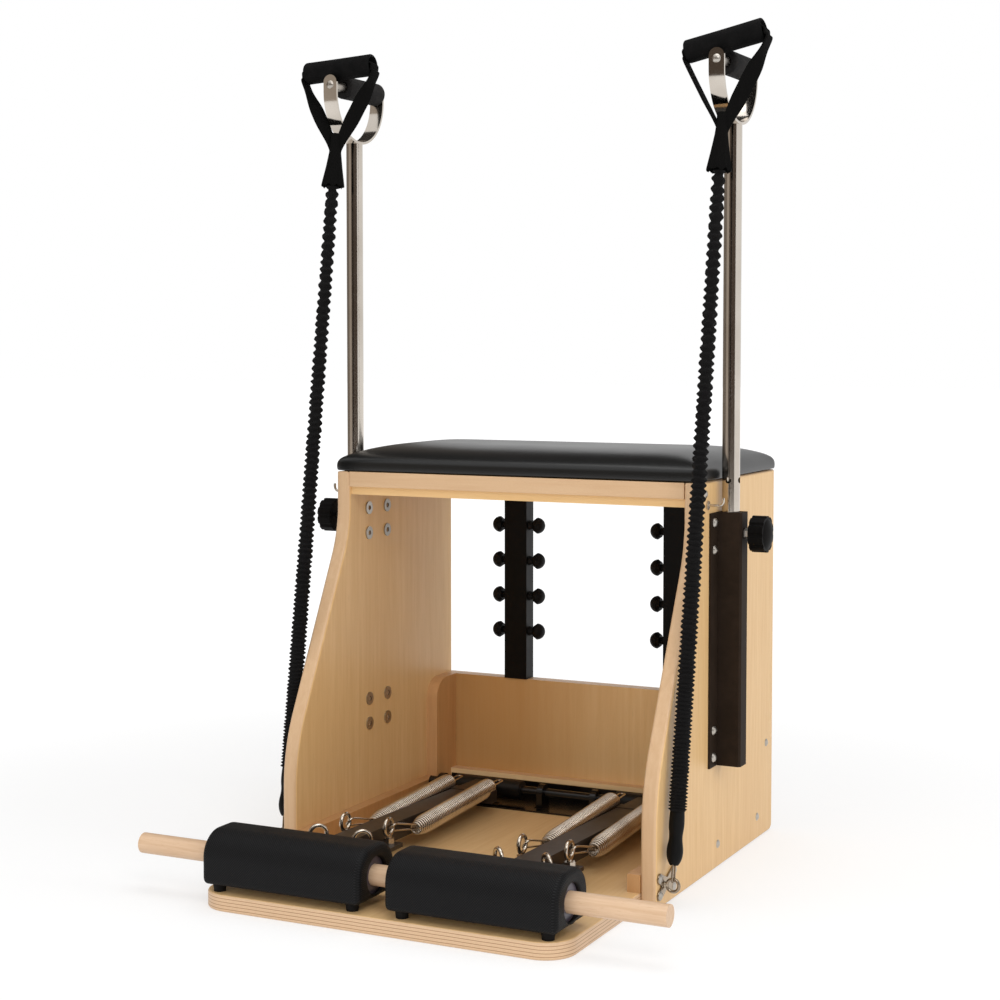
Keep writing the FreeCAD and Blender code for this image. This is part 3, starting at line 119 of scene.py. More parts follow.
def end_caps(rows, sides):
    """The two end faces of a tube made of rows of points."""
    last = (rows - 1) * sides
    return [tuple(range(sides - 1, -1, -1)), tuple(range(last, last + sides))]


def heading(points, i):
    """The way along a line of points at one of them."""
    return (points[min(i + 1, len(points) - 1)] - points[max(i - 1, 0)]).normalized()


def cross_axes(way):
    """Two directions square to a way, the first of them near X."""
    across = (Vector((1, 0, 0)) - way * way.x).normalized()
    return across, way.cross(across)


def tube(points, radius, sides, normal):
    """Points and faces of a round tube along the points, closed at both ends."""
    verts = []
    for i, point in enumerate(points):
        tangent = heading(points, i)
        normal = (normal - tangent * normal.dot(tangent)).normalized()
        verts += circle(point, normal, tangent.cross(normal), radius, sides)
    return verts, ring_faces(len(points), sides) + end_caps(len(points), sides)


def spun(profile, base, axis, sides):
    """Points and faces of a profile of (along, radius) pairs spun about an axis that isn't upright."""
    axis = Vector(axis).normalized()
    side = Vector((0, 0, 1))
    side = (side - axis * side.dot(axis)).normalized()
    other = axis.cross(side)
    verts = []
    for along, radius in profile:
        verts += circle(Vector(base) + axis * along, side, other, radius, sides)
    return verts, ring_faces(len(profile), sides)


def closed_tube(points, radius, sides):
    """Points and faces of a round tube along a flat closed loop of points."""
    n = len(points)
    middle = sum(points, Vector()) / n
    flat = (points[1] - points[0]).cross(middle - points[0]).normalized()
    verts = []
    for i, point in enumerate(points):
        tangent = (points[(i + 1) % n] - points[i - 1]).normalized()
        verts += circle(point, flat, tangent.cross(flat), radius, sides)
    return verts, ring_faces(n, sides, True)


# Materials

def colour(r, g, b):
    """A written screen colour, 0 to 255, as linear light."""
    def lin(c):
        c = c / 255
        return c / 12.92 if c <= 0.04045 else ((c + 0.055) / 1.055) ** 2.4
    return (lin(r), lin(g), lin(b), 1)


class Builder:
    """A short way to write the nodes of a material or a world."""

    def __init__(self, name, world=False):
        self.owner = (bpy.data.worlds if world else bpy.data.materials).new(name)
        self.owner.use_nodes = True
        self.tree = self.owner.node_tree
        self.shader = self.tree.nodes["Background" if world else "Principled BSDF"]

    def node(self, kind, inputs=(), **props):
        made = self.tree.nodes.new("ShaderNode" + kind)
        for key, value in props.items():
            setattr(made, key, value)
        for key, value in dict(inputs).items():
            self.put(made.inputs[key], value)
        return made

    def put(self, socket, value):
        """Link an output to a socket, or set the socket's value, with a screen colour as linear light."""
        if isinstance(value, bpy.types.NodeSocket):
            self.tree.links.new(value, socket)
        elif socket.type == "RGBA" and len(value) == 3:
            socket.default_value = colour(*value)
        else:
            socket.default_value = value

    def set(self, **values):
        for key, value in values.items():
            self.put(self.shader.inputs[key.replace("_", " ")], value)

    def math(self, operation, a, b=0.0, c=0.0):
        made = self.node("Math", operation=operation)
        for socket, value in zip(made.inputs, (a, b, c)):
            self.put(socket, value)
        return made.outputs[0]

    def source(self, kind):
        return self.node("TexCoord").outputs[kind]

    def place(self, axis, kind="Object"):
        """One axis of the object's own places, its normals or its UV."""
        return self.node("SeparateXYZ", {"Vector": self.source(kind)}).outputs[axis]

    def coords(self, scale):
        """The object's own places, times one scale or a scale for each axis."""
        scale = scale if hasattr(scale, "__len__") else (scale, scale, scale)
        return self.node("Mapping", {"Vector": self.source("Object"), "Scale": scale}).outputs[0]

    def noise(self, vector, scale, detail=4.0, roughness=0.5, distortion=0.0):
        inputs = {"Vector": vector, "Scale": scale, "Detail": detail, "Roughness": roughness,
                  "Distortion": distortion}
        return self.node("TexNoise", inputs).outputs["Fac"]

    def cells(self, vector, randomness=1.0, **props):
        """Distance from the middle of the nearest cell."""
        inputs = {"Vector": vector, "Scale": 1.0, "Randomness": randomness}
        return self.node("TexVoronoi", inputs, **props).outputs["Distance"]

    def ramp(self, fac, stops):
        """A value read between stops of (place, value)."""
        made = self.node("ValToRGB", {"Fac": fac})
        ramp = made.color_ramp
        while len(ramp.elements) < len(stops):
            ramp.elements.new(0.5)
        for element, (at, value) in zip(ramp.elements, stops):
            element.position = at
            element.color = (value, value, value, 1)
        return made.outputs["Color"]

    def mix(self, fac, a, b):
        made = self.node("Mix", data_type="RGBA")
        self.put(made.inputs[0], fac)
        self.put(made.inputs[6], a)
        self.put(made.inputs[7], b)
        return made.outputs[2]

    def bump(self, height, strength, distance):
        inputs = {"Height": height, "Strength": strength, "Distance": distance}
        return self.node("Bump", inputs).outputs[0]


# Screen colours of a board: its face, the face's grain, its edge and the edge's grain or glue lines
VENEER = ((230, 192, 137), (216, 174, 118), (212, 178, 140), (194, 154, 114))
BASE_TONES = ((232, 195, 142), (218, 178, 124), (224, 192, 156), (158, 118, 84))
# The cleats' tones are a darker copy of the veneer: painted shade
CLEAT_SHADED_TONES = ((202, 152, 98), (184, 134, 82), (200, 154, 106), (182, 136, 90))
# The back board's face tones are a brighter copy of the veneer: painted light
BACK_LIT_TONES = ((238, 201, 146), (226, 184, 127), *VENEER[2:])
BATTEN_TONES = ((243, 210, 160), (232, 194, 142), (226, 192, 152), (210, 170, 128))
# Painted shadow on the back board's left side: where it starts and ends along X, and its tone
BACK_PAINTED_SHADOW = (-0.14, 0.09, (168, 118, 62))
GRAIN_ACROSS = 60.0
GRAIN_ALONG = 3.0
PORE_SHARES = (0.55, 0.5, 0.45, 1)
PLY_LINE = ((0.0, 1.0), (0.08, 0.8), (0.16, 0.0), (0.5, 0.14), (0.84, 0.0), (0.92, 0.8), (1.0, 1.0))
PLY_WANDER = 0.03
# How much of the painted shadow's tone is mixed in where it is darkest
PAINTED_SHADOW_STRENGTH = 0.8
finishes = {}


def box_wood(node, thick_axis, grain_axis, tones=VENEER, layers=0.0, painted_shadow=None):
    """Lacquered plywood fitted to a board: straight grain on its faces, layers or a lipping on its edges."""
    low, high = [corner["XYZ".index(thick_axis)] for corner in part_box(node)]
    face, dark, edge, edge_dark = tones
    b = Builder("ply_" + node)
    stretch = [GRAIN_ACROSS] * 3
    stretch["XYZ".index(grain_axis)] = GRAIN_ALONG
    streak = b.noise(b.coords(stretch), 2.2, 6, 0.6, 0.4)
    wide = b.noise(b.coords([c / 6 for c in stretch]), 1.4, 3, 0.5, 0.8)
    pores = b.noise(b.coords([c * 7 for c in stretch]), 2.0, 2, 0.5)
    veneer = b.mix(b.ramp(streak, ((0.3, 0.0), (0.75, 1.0))), face, dark)
    veneer = b.mix(b.math("MULTIPLY", b.ramp(wide, ((0.35, 0.0), (0.7, 1.0))), 0.45), veneer, dark)
    pore_tone = [c * share for c, share in zip(colour(*dark), PORE_SHARES)]
    veneer = b.mix(b.math("MULTIPLY", b.ramp(pores, ((0.62, 0.0), (0.72, 1.0))), 0.16), veneer, pore_tone)
    # Painted shadow: the face darkens towards low X, most at and below the first place and not at all past
    # the second
    if painted_shadow:
        shadow_start, shadow_end, shadow_tone = painted_shadow
        reach = b.math("DIVIDE", b.math("SUBTRACT", b.place("X"), shadow_start), shadow_end - shadow_start)
        veneer = b.mix(b.ramp(reach, ((0.0, PAINTED_SHADOW_STRENGTH), (1.0, 0.0))), veneer, shadow_tone)
    if layers:
        depth = b.math("DIVIDE", b.math("SUBTRACT", b.place(thick_axis), low), high - low)
        wander = b.math("SUBTRACT", b.noise(b.coords(14), 2.0, 2), 0.5)
        depth = b.math("ADD", depth, b.math("MULTIPLY", wander, PLY_WANDER))
        rim = b.mix(b.ramp(b.math("FRACT", b.math("MULTIPLY", depth, layers)), PLY_LINE), edge, edge_dark)
    else:
        rim = b.mix(b.ramp(streak, ((0.35, 0.0), (0.8, 0.6))), edge, edge_dark)
    fibre = b.noise(b.coords(420), 1.0, 2)
    rim = b.mix(b.math("MULTIPLY", fibre, 0.3), rim, edge_dark)
    facing = b.math("ABSOLUTE", b.place(thick_axis, "Normal"))
    is_face = b.ramp(facing, ((0.72, 0.0), (0.86, 1.0)))
    b.set(Base_Color=b.mix(is_face, rim, veneer), Roughness=b.math("MULTIPLY_ADD", streak, 0.12, 0.36))
    b.set(Coat_Weight=0.12, Coat_Roughness=0.25, Specular_IOR_Level=0.4)
    b.set(Normal=b.bump(pores, 0.12, 0.0003))
    finishes[node] = b.owner


PEBBLE_SCALE = 700


def leather(name, base, lift):
    """Smooth upholstery vinyl with a fine pebble."""
    b = Builder(name)
    cells = b.cells(b.coords(PEBBLE_SCALE), feature="SMOOTH_F1")
    fine = b.noise(b.coords(PEBBLE_SCALE * 2), 1.0, 3)
    patch = b.noise(b.coords(9), 1.0, 3)
    b.set(Base_Color=b.mix(patch, base, lift), Roughness=b.math("MULTIPLY_ADD", patch, 0.1, 0.27))
    height = b.math("ADD", b.math("MULTIPLY", cells, 0.7), b.math("MULTIPLY", fine, 0.3))
    b.set(Normal=b.bump(height, 0.08, 0.0003), Specular_IOR_Level=0.45)
    return b.owner


DOT_SCALE = 370


def dimpled(name):
    """Grip vinyl with rows of fine raised dots."""
    b = Builder(name)
    turned = b.node("Mapping", {"Vector": b.source("UV"), "Rotation": (0, 0, math.radians(45)),
                                "Scale": (DOT_SCALE, DOT_SCALE, 1)}).outputs[0]
    raised = b.ramp(b.cells(turned, 0.0, voronoi_dimensions="2D"), ((0.18, 1.0), (0.45, 0.0)))
    patch = b.noise(b.coords(14), 1.0, 4)
    # The raised dots are coloured lighter than the vinyl between them: a painted highlight on their tops
    shade = b.mix(raised, (8, 8, 9), (35, 35, 36))
    b.set(Base_Color=b.mix(b.math("MULTIPLY", patch, 0.4), shade, (20, 20, 21)),
          Roughness=b.math("MULTIPLY_ADD", patch, 0.12, 0.5), Specular_IOR_Level=0.14)
    b.set(Normal=b.bump(raised, 0.5, 0.0005))
    return b.owner


HUB_BLACK = (9, 8, 8)
HUB_REACH = 18 * MM


def painted(name, base, lift, rough, gloss, black_from=None):
    """Powder-coated steel: orange-peel skin, rubbed patches, and black behind a place along Y if given."""
    b = Builder(name)
    peel = b.noise(b.coords(900), 1.0, 2)
    rub = b.noise(b.coords(22), 1.0, 5, 0.65)
    coat = b.mix(b.ramp(rub, ((0.4, 0.0), (0.75, 1.0))), base, lift)
    if black_from is not None:
        coat = b.mix(b.math("GREATER_THAN", b.place("Y"), black_from), coat, HUB_BLACK)
    b.set(Base_Color=coat, Roughness=b.math("MULTIPLY_ADD", rub, 0.2, rough), Specular_IOR_Level=gloss)
    b.set(Normal=b.bump(peel, 0.1, 0.0002))
    return b.owner


def metal(name, base, dull, rough, stretch=(30, 30, 30), mark=0.03, uneven=0.12):
    """Polished steel with faint draw marks and handling haze."""
    b = Builder(name)
    marks = b.noise(b.coords(stretch), 8.0, 4, 0.6)
    haze = b.noise(b.coords(12), 1.0, 4)
    b.set(Base_Color=b.mix(b.ramp(haze, ((0.35, 0.0), (0.7, 1.0))), base, dull), Metallic=1.0,
          Roughness=b.math("MULTIPLY_ADD", marks, uneven, rough))
    b.set(Normal=b.bump(marks, mark, 0.0002))
    return b.owner


def plastic(name, base, lift, rough, gloss=0.16):
    """Moulded plastic or rubber with a faint spark-eroded skin."""
    b = Builder(name)
    skin = b.noise(b.coords(1500), 1.0, 2)
    patch = b.noise(b.coords(35), 1.0, 4)
    b.set(Base_Color=b.mix(b.ramp(patch, ((0.35, 0.0), (0.75, 1.0))), base, lift),
          Roughness=b.math("MULTIPLY_ADD", patch, 0.15, rough), Specular_IOR_Level=gloss)
    b.set(Normal=b.bump(skin, 0.18, 0.0002))
    return b.owner


def foam(name, base, lift):
    """Closed-cell foam: small open pores in a matt skin."""
    b = Builder(name)
    pores = b.cells(b.coords(900))
    soft = b.noise(b.coords(60), 1.0, 4)
    b.set(Base_Color=b.mix(b.ramp(soft, ((0.35, 0.0), (0.7, 1.0))), base, lift),
          Roughness=b.math("MULTIPLY_ADD", soft, 0.1, 0.72), Specular_IOR_Level=0.08)
    b.set(Normal=b.bump(pores, 0.3, 0.0004))
    return b.owner


def woven(name, base, lift, sheen, across=560, along=340):
    """Webbing and sleeve cloth: a plain weave in the piece's own width and length."""
    b = Builder(name)
    warp = b.math("SINE", b.math("MULTIPLY", b.place("X", "UV"), across * 2 * math.pi))
    weft = b.math("SINE", b.math("MULTIPLY", b.place("Y", "UV"), along * 2 * math.pi))
    weave = b.math("MULTIPLY_ADD", b.math("MULTIPLY", warp, weft), 0.5, 0.5)
    lint = b.noise(b.coords(260), 1.0, 3)
    b.set(Base_Color=b.mix(weave, base, lift), Roughness=b.math("MULTIPLY_ADD", lint, 0.15, 0.68),
          Specular_IOR_Level=0.05, Sheen_Weight=sheen)
    b.set(Normal=b.bump(b.math("ADD", weave, b.math("MULTIPLY", lint, 0.4)), 0.35, 0.0005))
    return b.owner


for side in SIDES:
    box_wood("side_panel_" + side, "X", "Z")
box_wood("base_board", "Z", "Y", BASE_TONES, 5.0)
box_wood("seat_board", "Z", "X")
box_wood("seat_front_rail", "Y", "X")
box_wood("back_board", "Y", "Z", BACK_LIT_TONES, painted_shadow=BACK_PAINTED_SHADOW)
box_wood("rear_batten", "Y", "X", BATTEN_TONES)
box_wood("side_cleats", "X", "Z", CLEAT_SHADED_TONES)
chrome = metal("polished_steel", (206, 198, 188), (190, 181, 170), 0.1,
               stretch=(300, 300, 12), mark=0.004, uneven=0.06)
bright = metal("bright_wire", (214, 204, 190), (180, 168, 154), 0.16)
aged = metal("aged_nickel", (178, 163, 143), (132, 116, 98), 0.18)
zinc = metal("zinc_plate", (196, 190, 182), (160, 152, 142), 0.28)
bronze = painted("bronze_coat", (39, 30, 23), (50, 39, 31), 0.5, 0.08)
black_coat = painted("black_coat", (8, 7, 6), (14, 12, 11), 0.36, 0.14)
arm_coat = painted("arm_coat", (38, 29, 22), (50, 39, 31), 0.32, 0.34,
                   black_from=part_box("axle_shaft")[0].y - HUB_REACH)
gloss_black = painted("gloss_black", HUB_BLACK, (15, 13, 12), 0.12, 0.5)
plate_coat = painted("plate_coat", (58, 52, 62), (84, 77, 88), 0.24, 0.5)
knob_plastic = plastic("knob_plastic", (11, 10, 9), (18, 16, 15), 0.42, 0.05)
moulded = plastic("moulded_black", (13, 12, 12), (23, 22, 22), 0.46)
cord_rubber = plastic("cord_rubber", (6, 6, 6), (12, 11, 11), 0.5)
rubber = plastic("bumper_rubber", (13, 12, 12), (22, 21, 21), 0.62)
grip_foam = foam("grip_foam", (34, 33, 33), (48, 46, 45))
bar_foam = foam("bar_foam", (10, 10, 10), (18, 17, 17))
strap_cloth = woven("strap_cloth", (7, 7, 7), (17, 16, 15), 0.0)
sleeve_cloth = woven("sleeve_cloth", (10, 9, 9), (28, 27, 27), 0.03, 60, 900)
seat_vinyl = leather("seat_vinyl", (14, 14, 14), (20, 20, 20))
pedal_vinyl = dimpled("pedal_vinyl")
bush = plastic("bush_plastic", (30, 28, 27), (44, 41, 39), 0.45)


def dowel_wood():
    """Turned beech, with short flecks along the grain."""
    b = Builder("beech_dowel")
    streak = b.noise(b.coords((4, 90, 90)), 2.4, 6, 0.6, 0.3)
    fleck = b.noise(b.coords((90, 700, 700)), 1.0, 2)
    base = b.mix(b.ramp(streak, ((0.3, 0.0), (0.75, 1.0))), (220, 188, 156), (201, 165, 130))
    flecked = b.math("MULTIPLY", b.ramp(fleck, ((0.62, 0.0), (0.72, 1.0))), 0.35)
    base = b.mix(flecked, base, (186, 144, 108))
    b.set(Base_Color=base, Roughness=b.math("MULTIPLY_ADD", streak, 0.12, 0.38), Coat_Weight=0.1,
          Coat_Roughness=0.3, Normal=b.bump(fleck, 0.1, 0.0003))
    return b.owner


finishes["dowel"] = dowel_wood()
for side in SIDES:
    for node, finish in (("post", chrome), ("eye_bolts", bright), ("grip_rod", zinc), ("clamp_stud", zinc),
                         ("post_holder", bronze), ("pedal_frame", arm_coat), ("spring_tree", black_coat),
                         ("pedal_end_plates", plate_coat), ("clamp_knob", knob_plastic),
                         ("pedal_bumpers", rubber), ("hub_bushes", bush)):
        finishes[f"{node}_{side}"] = finish
    box_wood("pedal_core_" + side, "X", "Y")
for node, finish in (("cord_links", aged), ("storage_hooks", bright), ("holder_bolts", zinc),
                     ("tee_nuts", zinc), ("wood_screws", zinc), ("axle_plate", gloss_black),
                     ("bearing_blocks", gloss_black), ("axle_shaft", gloss_black), ("tree_knobs", moulded),
                     ("tree_studs", black_coat), ("cord_ends", cord_rubber)):
    finishes[node] = finish
for node, finish in finishes.items():
    target = nodes[node]
    for material_slot in target.material_slots:
        material_slot.material = finish
    if not target.material_slots:
        target.data.materials.append(finish)


# Seat pad

WELD_GAP = 0.01 * MM
SEAT_COLUMNS = 56
SEAT_ROWS = 32
# Inset from the pad's box and height above its underside, in mm, on the way up the side
SEAT_SIDE = ((1.5, 0.0), (-1.4, 1.8), (-2.6, 5.0), (-3.0, 9.0), (-2.8, 13.0), (-2.0, 16.6), (-0.2, 19.4),
             (2.6, 21.6))
SEAT_CORNER = 2.6 * MM
SEAT_DRAW = 1.2 * MM
SEAT_CROWDING = 0.25
SEAT_CROWN = 140 * MM
SEAT_END = 105 * MM
SEAT_HIP = 4.0
CROWN_BEND = 2.2
CROWN_EDGE = 0.75
LEAST_RISE = 1e-4
SEAT_SWELL = 2 * MM
SEAT_HELD = 3 * MM
SEAT_PROUD = Vector((3 * MM, 3 * MM, 0))
SWELL_CAP = 3 * MM
SWELL_FRAMES = 20
SWELL_EVENING = 15
COVER_SETTINGS = {"quality": 6, "mass": 0.4, "tension_stiffness": 25, "compression_stiffness": 25,
                  "bending_stiffness": 2, "use_pressure": True, "uniform_pressure_force": 4}


def weld(obj):
    """Join points that meet and turn all faces outward."""
    bm = bmesh.new()
    bm.from_mesh(obj.data)
    bmesh.ops.remove_doubles(bm, verts=bm.verts, dist=WELD_GAP)
    bmesh.ops.recalc_face_normals(bm, faces=bm.faces)
    bm.to_mesh(obj.data)
    bm.free()
    shade_smooth(obj.data)


def seat_cover(low, high):
    """The cover before it swells: upright sides, a soft edge and a long crown over the foam."""
    half_x = (high.x - low.x) / 2
    half_y = (high.y - low.y) / 2
    mid_y = (high.y + low.y) / 2
    top = high.z - low.z - SEAT_SWELL
    edge, shoulder = [c * MM for c in SEAT_SIDE[-1]]

    def crown(place, half, run):
        """How far the crown has risen at a distance from the edge of one direction."""
        inward = max(0.0, half - abs(place) - edge)
        return (1 - (1 - min(1.0, inward / run)) ** CROWN_BEND) ** CROWN_EDGE

    def lower(a, b):
        """The lower of two rises, rounded where they meet, and one where both are one."""
        both = max(a, LEAST_RISE) ** -SEAT_HIP + max(b, LEAST_RISE) ** -SEAT_HIP
        return (2 / both) ** (1 / SEAT_HIP)

    def spread(i, count):
        """A place from -1 to 1, with the steps closer near both ends."""
        t = 2 * i / count - 1
        return t * (1 + SEAT_CROWDING - SEAT_CROWDING * t * t)

    def flat_place(i, j, inset):
        """A grid point's place in plan, with the pad's outline drawn in by an inset."""
        u, v = spread(i, SEAT_COLUMNS), spread(j, SEAT_ROWS)
        corner = SEAT_CORNER if i in (0, SEAT_COLUMNS) and j in (0, SEAT_ROWS) else 0.0
        draw = SEAT_DRAW * (1 - u ** 4) if j in (0, SEAT_ROWS) else 0.0
        return u * (half_x - inset - corner), v * (half_y - inset - corner - draw)

    verts = []
    for j in range(SEAT_ROWS + 1):
        for i in range(SEAT_COLUMNS + 1):
            px, py = flat_place(i, j, edge)
            rise = lower(crown(px, half_x, SEAT_END), crown(py, half_y, SEAT_CROWN))
            verts.append(Vector((px, mid_y + py, low.z + shoulder + (top - shoulder) * rise)))
    wide = SEAT_COLUMNS + 1
    faces = [(j * wide + i, j * wide + i + 1, (j + 1) * wide + i + 1, (j + 1) * wide + i)
             for j in range(SEAT_ROWS) for i in range(SEAT_COLUMNS)]
    loop = [(i, 0) for i in range(SEAT_COLUMNS)] + [(SEAT_COLUMNS, j) for j in range(SEAT_ROWS)]
    loop += [(SEAT_COLUMNS - i, SEAT_ROWS) for i in range(SEAT_COLUMNS)]
    loop += [(0, SEAT_ROWS - j) for j in range(SEAT_ROWS)]
    above = [j * wide + i for i, j in loop]
    for inset, height in reversed(SEAT_SIDE[:-1]):
        below = []
        for i, j in loop:
            px, py = flat_place(i, j, inset * MM)
            below.append(len(verts))
            verts.append(Vector((px, mid_y + py, low.z + height * MM)))
        for k in range(len(loop)):
            m = (k + 1) % len(loop)
            faces.append((above[k], below[k], below[m], above[m]))
        above = below
    faces.append(tuple(reversed(above)))
    return verts, faces


def swell(obj, held_below):
    """Let a cover swell under pressure with its lower edge held, and keep its moves, evened out."""
    held = obj.vertex_groups.new(name="held")
    held.add([v.index for v in obj.data.vertices if v.co.z < held_below], 1.0, "ADD")
    start = [v.co.copy() for v in obj.data.vertices]
    cover = obj.modifiers.new("cover", "CLOTH")
    for key, value in COVER_SETTINGS.items():
        setattr(cover.settings, key, value)
    cover.settings.vertex_group_mass = "held"
    cover.settings.effector_weights.gravity = 0
    cover.point_cache.frame_start = 1
    cover.point_cache.frame_end = SWELL_FRAMES
    for number in range(1, SWELL_FRAMES + 1):
        scene.frame_set(number)
    result = obj.evaluated_get(bpy.context.evaluated_depsgraph_get())
    moves = []
    for was, vertex in zip(start, result.data.vertices):
        move = vertex.co - was
        moves.append(move * SWELL_CAP / (SWELL_CAP + move.length))
    obj.modifiers.remove(cover)
    obj.vertex_groups.remove(held)
    scene.frame_set(1)
    near = [[] for was in start]
    for edge in obj.data.edges:
        a, b = edge.vertices
        near[a].append(b)
        near[b].append(a)
    for turn in range(SWELL_EVENING):
        moves = [sum((moves[k] for k in near[i]), moves[i]) / (len(near[i]) + 1) for i in range(len(moves))]
    for vertex, was, move in zip(obj.data.vertices, start, moves):
        vertex.co = was + move if was.z >= held_below else was


def refine(obj):
    """One subdivision, kept in the mesh."""
    obj.modifiers.new("refine", "SUBSURF").levels = 1
    fine = bpy.data.meshes.new_from_object(obj.evaluated_get(bpy.context.evaluated_depsgraph_get()))
    obj.modifiers.clear()
    obj.data = fine
    shade_smooth(fine)


def seat_pad():
    """The seat's cushion: its cover swelled, brought back to the pad's height and refined."""
    low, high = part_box("seat_pad")
    verts, faces = seat_cover(low, high)
    cushion = make_object("seat_cushion", verts, faces, seat_vinyl)
    weld(cushion)
    swell(cushion, low.z + SEAT_HELD)
    level = min(1.0, (high.z - low.z) / (max(v.co.z for v in cushion.data.vertices) - low.z))
    for vertex in cushion.data.vertices:
        vertex.co.z = low.z + (vertex.co.z - low.z) * level
        vertex.co = [max(a, min(b, c)) for a, b, c in zip(low - SEAT_PROUD, high + SEAT_PROUD, vertex.co)]
    refine(cushion)
    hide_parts("seat_pad")
    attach(cushion, "chair")


seat_pad()


# Pedal pads

PAD_CORNER = 38 * MM
PAD_FOOT = 6 * MM
PAD_STEP = 6 * MM
PAD_ROLL = 8 * MM
PAD_ROLL_STEPS = 5
PAD_LENGTHS = 24
PAD_FLOOR = 3 * MM
# Depth and widening, in mm, of the rings that line the dowel's opening
PAD_LIPS = ((8.0, 0.0), (3.0, 0.0), (0.9, 0.9), (0.0, 3.0))


def pad_outline(half, top, floor, centre_y):
    """Points round the pedal's section, from the rear over the top to the front and back below."""
    arcs = ((1, top - PAD_CORNER, PAD_CORNER, 0, 90, 16), (-1, top - PAD_CORNER, PAD_CORNER, 90, 180, 16),
            (-1, floor + PAD_FOOT, PAD_FOOT, 180, 270, 5), (1, floor + PAD_FOOT, PAD_FOOT, 270, 360, 5))
    bends = []
    for sign, z, radius, first, last, steps in arcs:
        for i in range(steps + 1):
            a = math.radians(first + (last - first) * i / steps)
            y = centre_y + sign * (half - radius) + radius * math.cos(a)
            bends.append((y, z + radius * math.sin(a)))
    points = []
    for p, q in zip(bends, bends[1:] + bends[:1]):
        parts = max(1, round(math.dist(p, q) / PAD_STEP))
        for j in range(parts):
            points.append((p[0] + (q[0] - p[0]) * j / parts, p[1] + (q[1] - p[1]) * j / parts))
    return points


def pedal_pad(side):
    """Grip vinyl over the pedal: rounded ends, each turned in round an opening for the dowel."""
    node = "pedal_pad_" + side
    low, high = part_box(node)
    middle, half = middle_half(node)
    plates, plate_half = middle_half("pedal_end_plates_" + side)
    opening = plate_half.z + SOFT_GAP
    outline = pad_outline(half.y, high.z, low.z, middle.y)
    walks = [0.0]
    for p, q in zip(outline, outline[1:]):
        walks.append(walks[-1] + math.dist(p, q))
    rows = []
    for depth, lip in PAD_LIPS:
        ring = []
        for y, z in outline:
            a = math.atan2(z - plates.z, y - middle.y)
            reach = min(opening + lip * MM, half.y if z > plates.z else math.hypot(half.y, half.y))
            height = max(low.z + PAD_FLOOR, plates.z + reach * math.sin(a))
            ring.append((middle.y + reach * math.cos(a), height))
        rows.append((depth * MM, 0.0, ring))
    for i in range(PAD_ROLL_STEPS + 1):
        a = math.pi / 2 * i / PAD_ROLL_STEPS
        inset = PAD_ROLL * (1 - math.sin(a))
        ring = [(middle.y + (y - middle.y) * (half.y - inset) / half.y,
                 middle.z + (z - middle.z) * (half.z - inset) / half.z) for y, z in outline]
        rows.append((PAD_ROLL * (1 - math.cos(a)), PAD_ROLL * (1 - i / PAD_ROLL_STEPS), ring))
    stations = [(low.x + depth, low.x + depth + past, ring) for depth, past, ring in rows]
    span = high.x - low.x - 2 * PAD_ROLL
    places = [low.x + PAD_ROLL + span * i / PAD_LENGTHS for i in range(1, PAD_LENGTHS)]
    stations += [(x, x, outline) for x in places]
    stations += [(high.x - depth, high.x - depth - past, ring) for depth, past, ring in reversed(rows)]
    verts = []
    uvs = []
    for x, u, ring in stations:
        for (y, z), walk in zip(ring, walks):
            verts.append(Vector((x, y, z)))
            uvs.append((u, walk))
    faces = ring_faces(len(stations), len(outline))
    wrap = make_object("pedal_wrap_" + side, verts, faces, pedal_vinyl, uvs=uvs)
    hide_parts(node)
    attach(wrap, "pedal_" + side)


for side in SIDES:
    pedal_pad(side)


# Springs with their hooks

SPRING_WIRE = 3.2 * MM
SPRING_PITCH = 4.7 * MM
SPRING_BODY = 13.6 * MM
SPRING_MOUTH = 8.0 * MM
SPRING_TAPER_FRONT = 34 * MM
SPRING_TAPER_REAR = 14 * MM
SPRING_SPREAD = 37.5 * MM
# Places along Y and Z of a spring's two ends and of its eye
SPRING_START = (-66 * MM, 58 * MM)
SPRING_END = (196 * MM, 70 * MM)
SPRING_EYE = (-148 * MM, 79 * MM)
COIL_STEPS = 20
COIL_SIDES = 8
HOOK_WIRE = 3 * MM
HOOK_SIDES = 10
HOOK_ROLL = math.radians(50)
HOOK_DEPTH = 12 * MM
HOOK_INSIDE = 7.7 * MM
HOOK_NARROW = 8 * MM
HOOK_WIDE = 16 * MM
TAIL_LENGTH = 44 * MM
TAIL_WIDTH = 10.4 * MM
LINK_STEPS = 10


def pear_points(start, end, side, narrow, wide):
    """Points round a closed wire link that is wide at its start and narrow at its end."""
    way = (end - start).normalized()
    points = []
    for centre, half, sign in ((start, wide / 2, 1), (end, narrow / 2, -1)):
        for i in range(LINK_STEPS + 1):
            a = math.pi * i / LINK_STEPS
            points.append(centre + side * (half * math.cos(a) * sign) - way * (half * math.sin(a) * sign))
    return points


def coil_points(start, way, length, sign):
    """The wound wire of a spring that is drawn in at both ends."""
    across = Vector((1, 0, 0))
    up = way.cross(across)
    turns = (length - SPRING_WIRE) / SPRING_PITCH
    points = []
    for i in range(int(turns * COIL_STEPS) + 1):
        at = SPRING_WIRE / 2 + SPRING_PITCH * i / COIL_STEPS
        near = min(1, at / SPRING_TAPER_FRONT)
        far = min(1, (length - at) / SPRING_TAPER_REAR)
        radius = SPRING_MOUTH + (SPRING_BODY - SPRING_MOUTH) * math.sin(min(near, far) * math.pi / 2)
        a = 2 * math.pi * i / COIL_STEPS * sign
        points.append(start + way * at + across * (radius * math.cos(a)) + up * (radius * math.sin(a)))
    return points


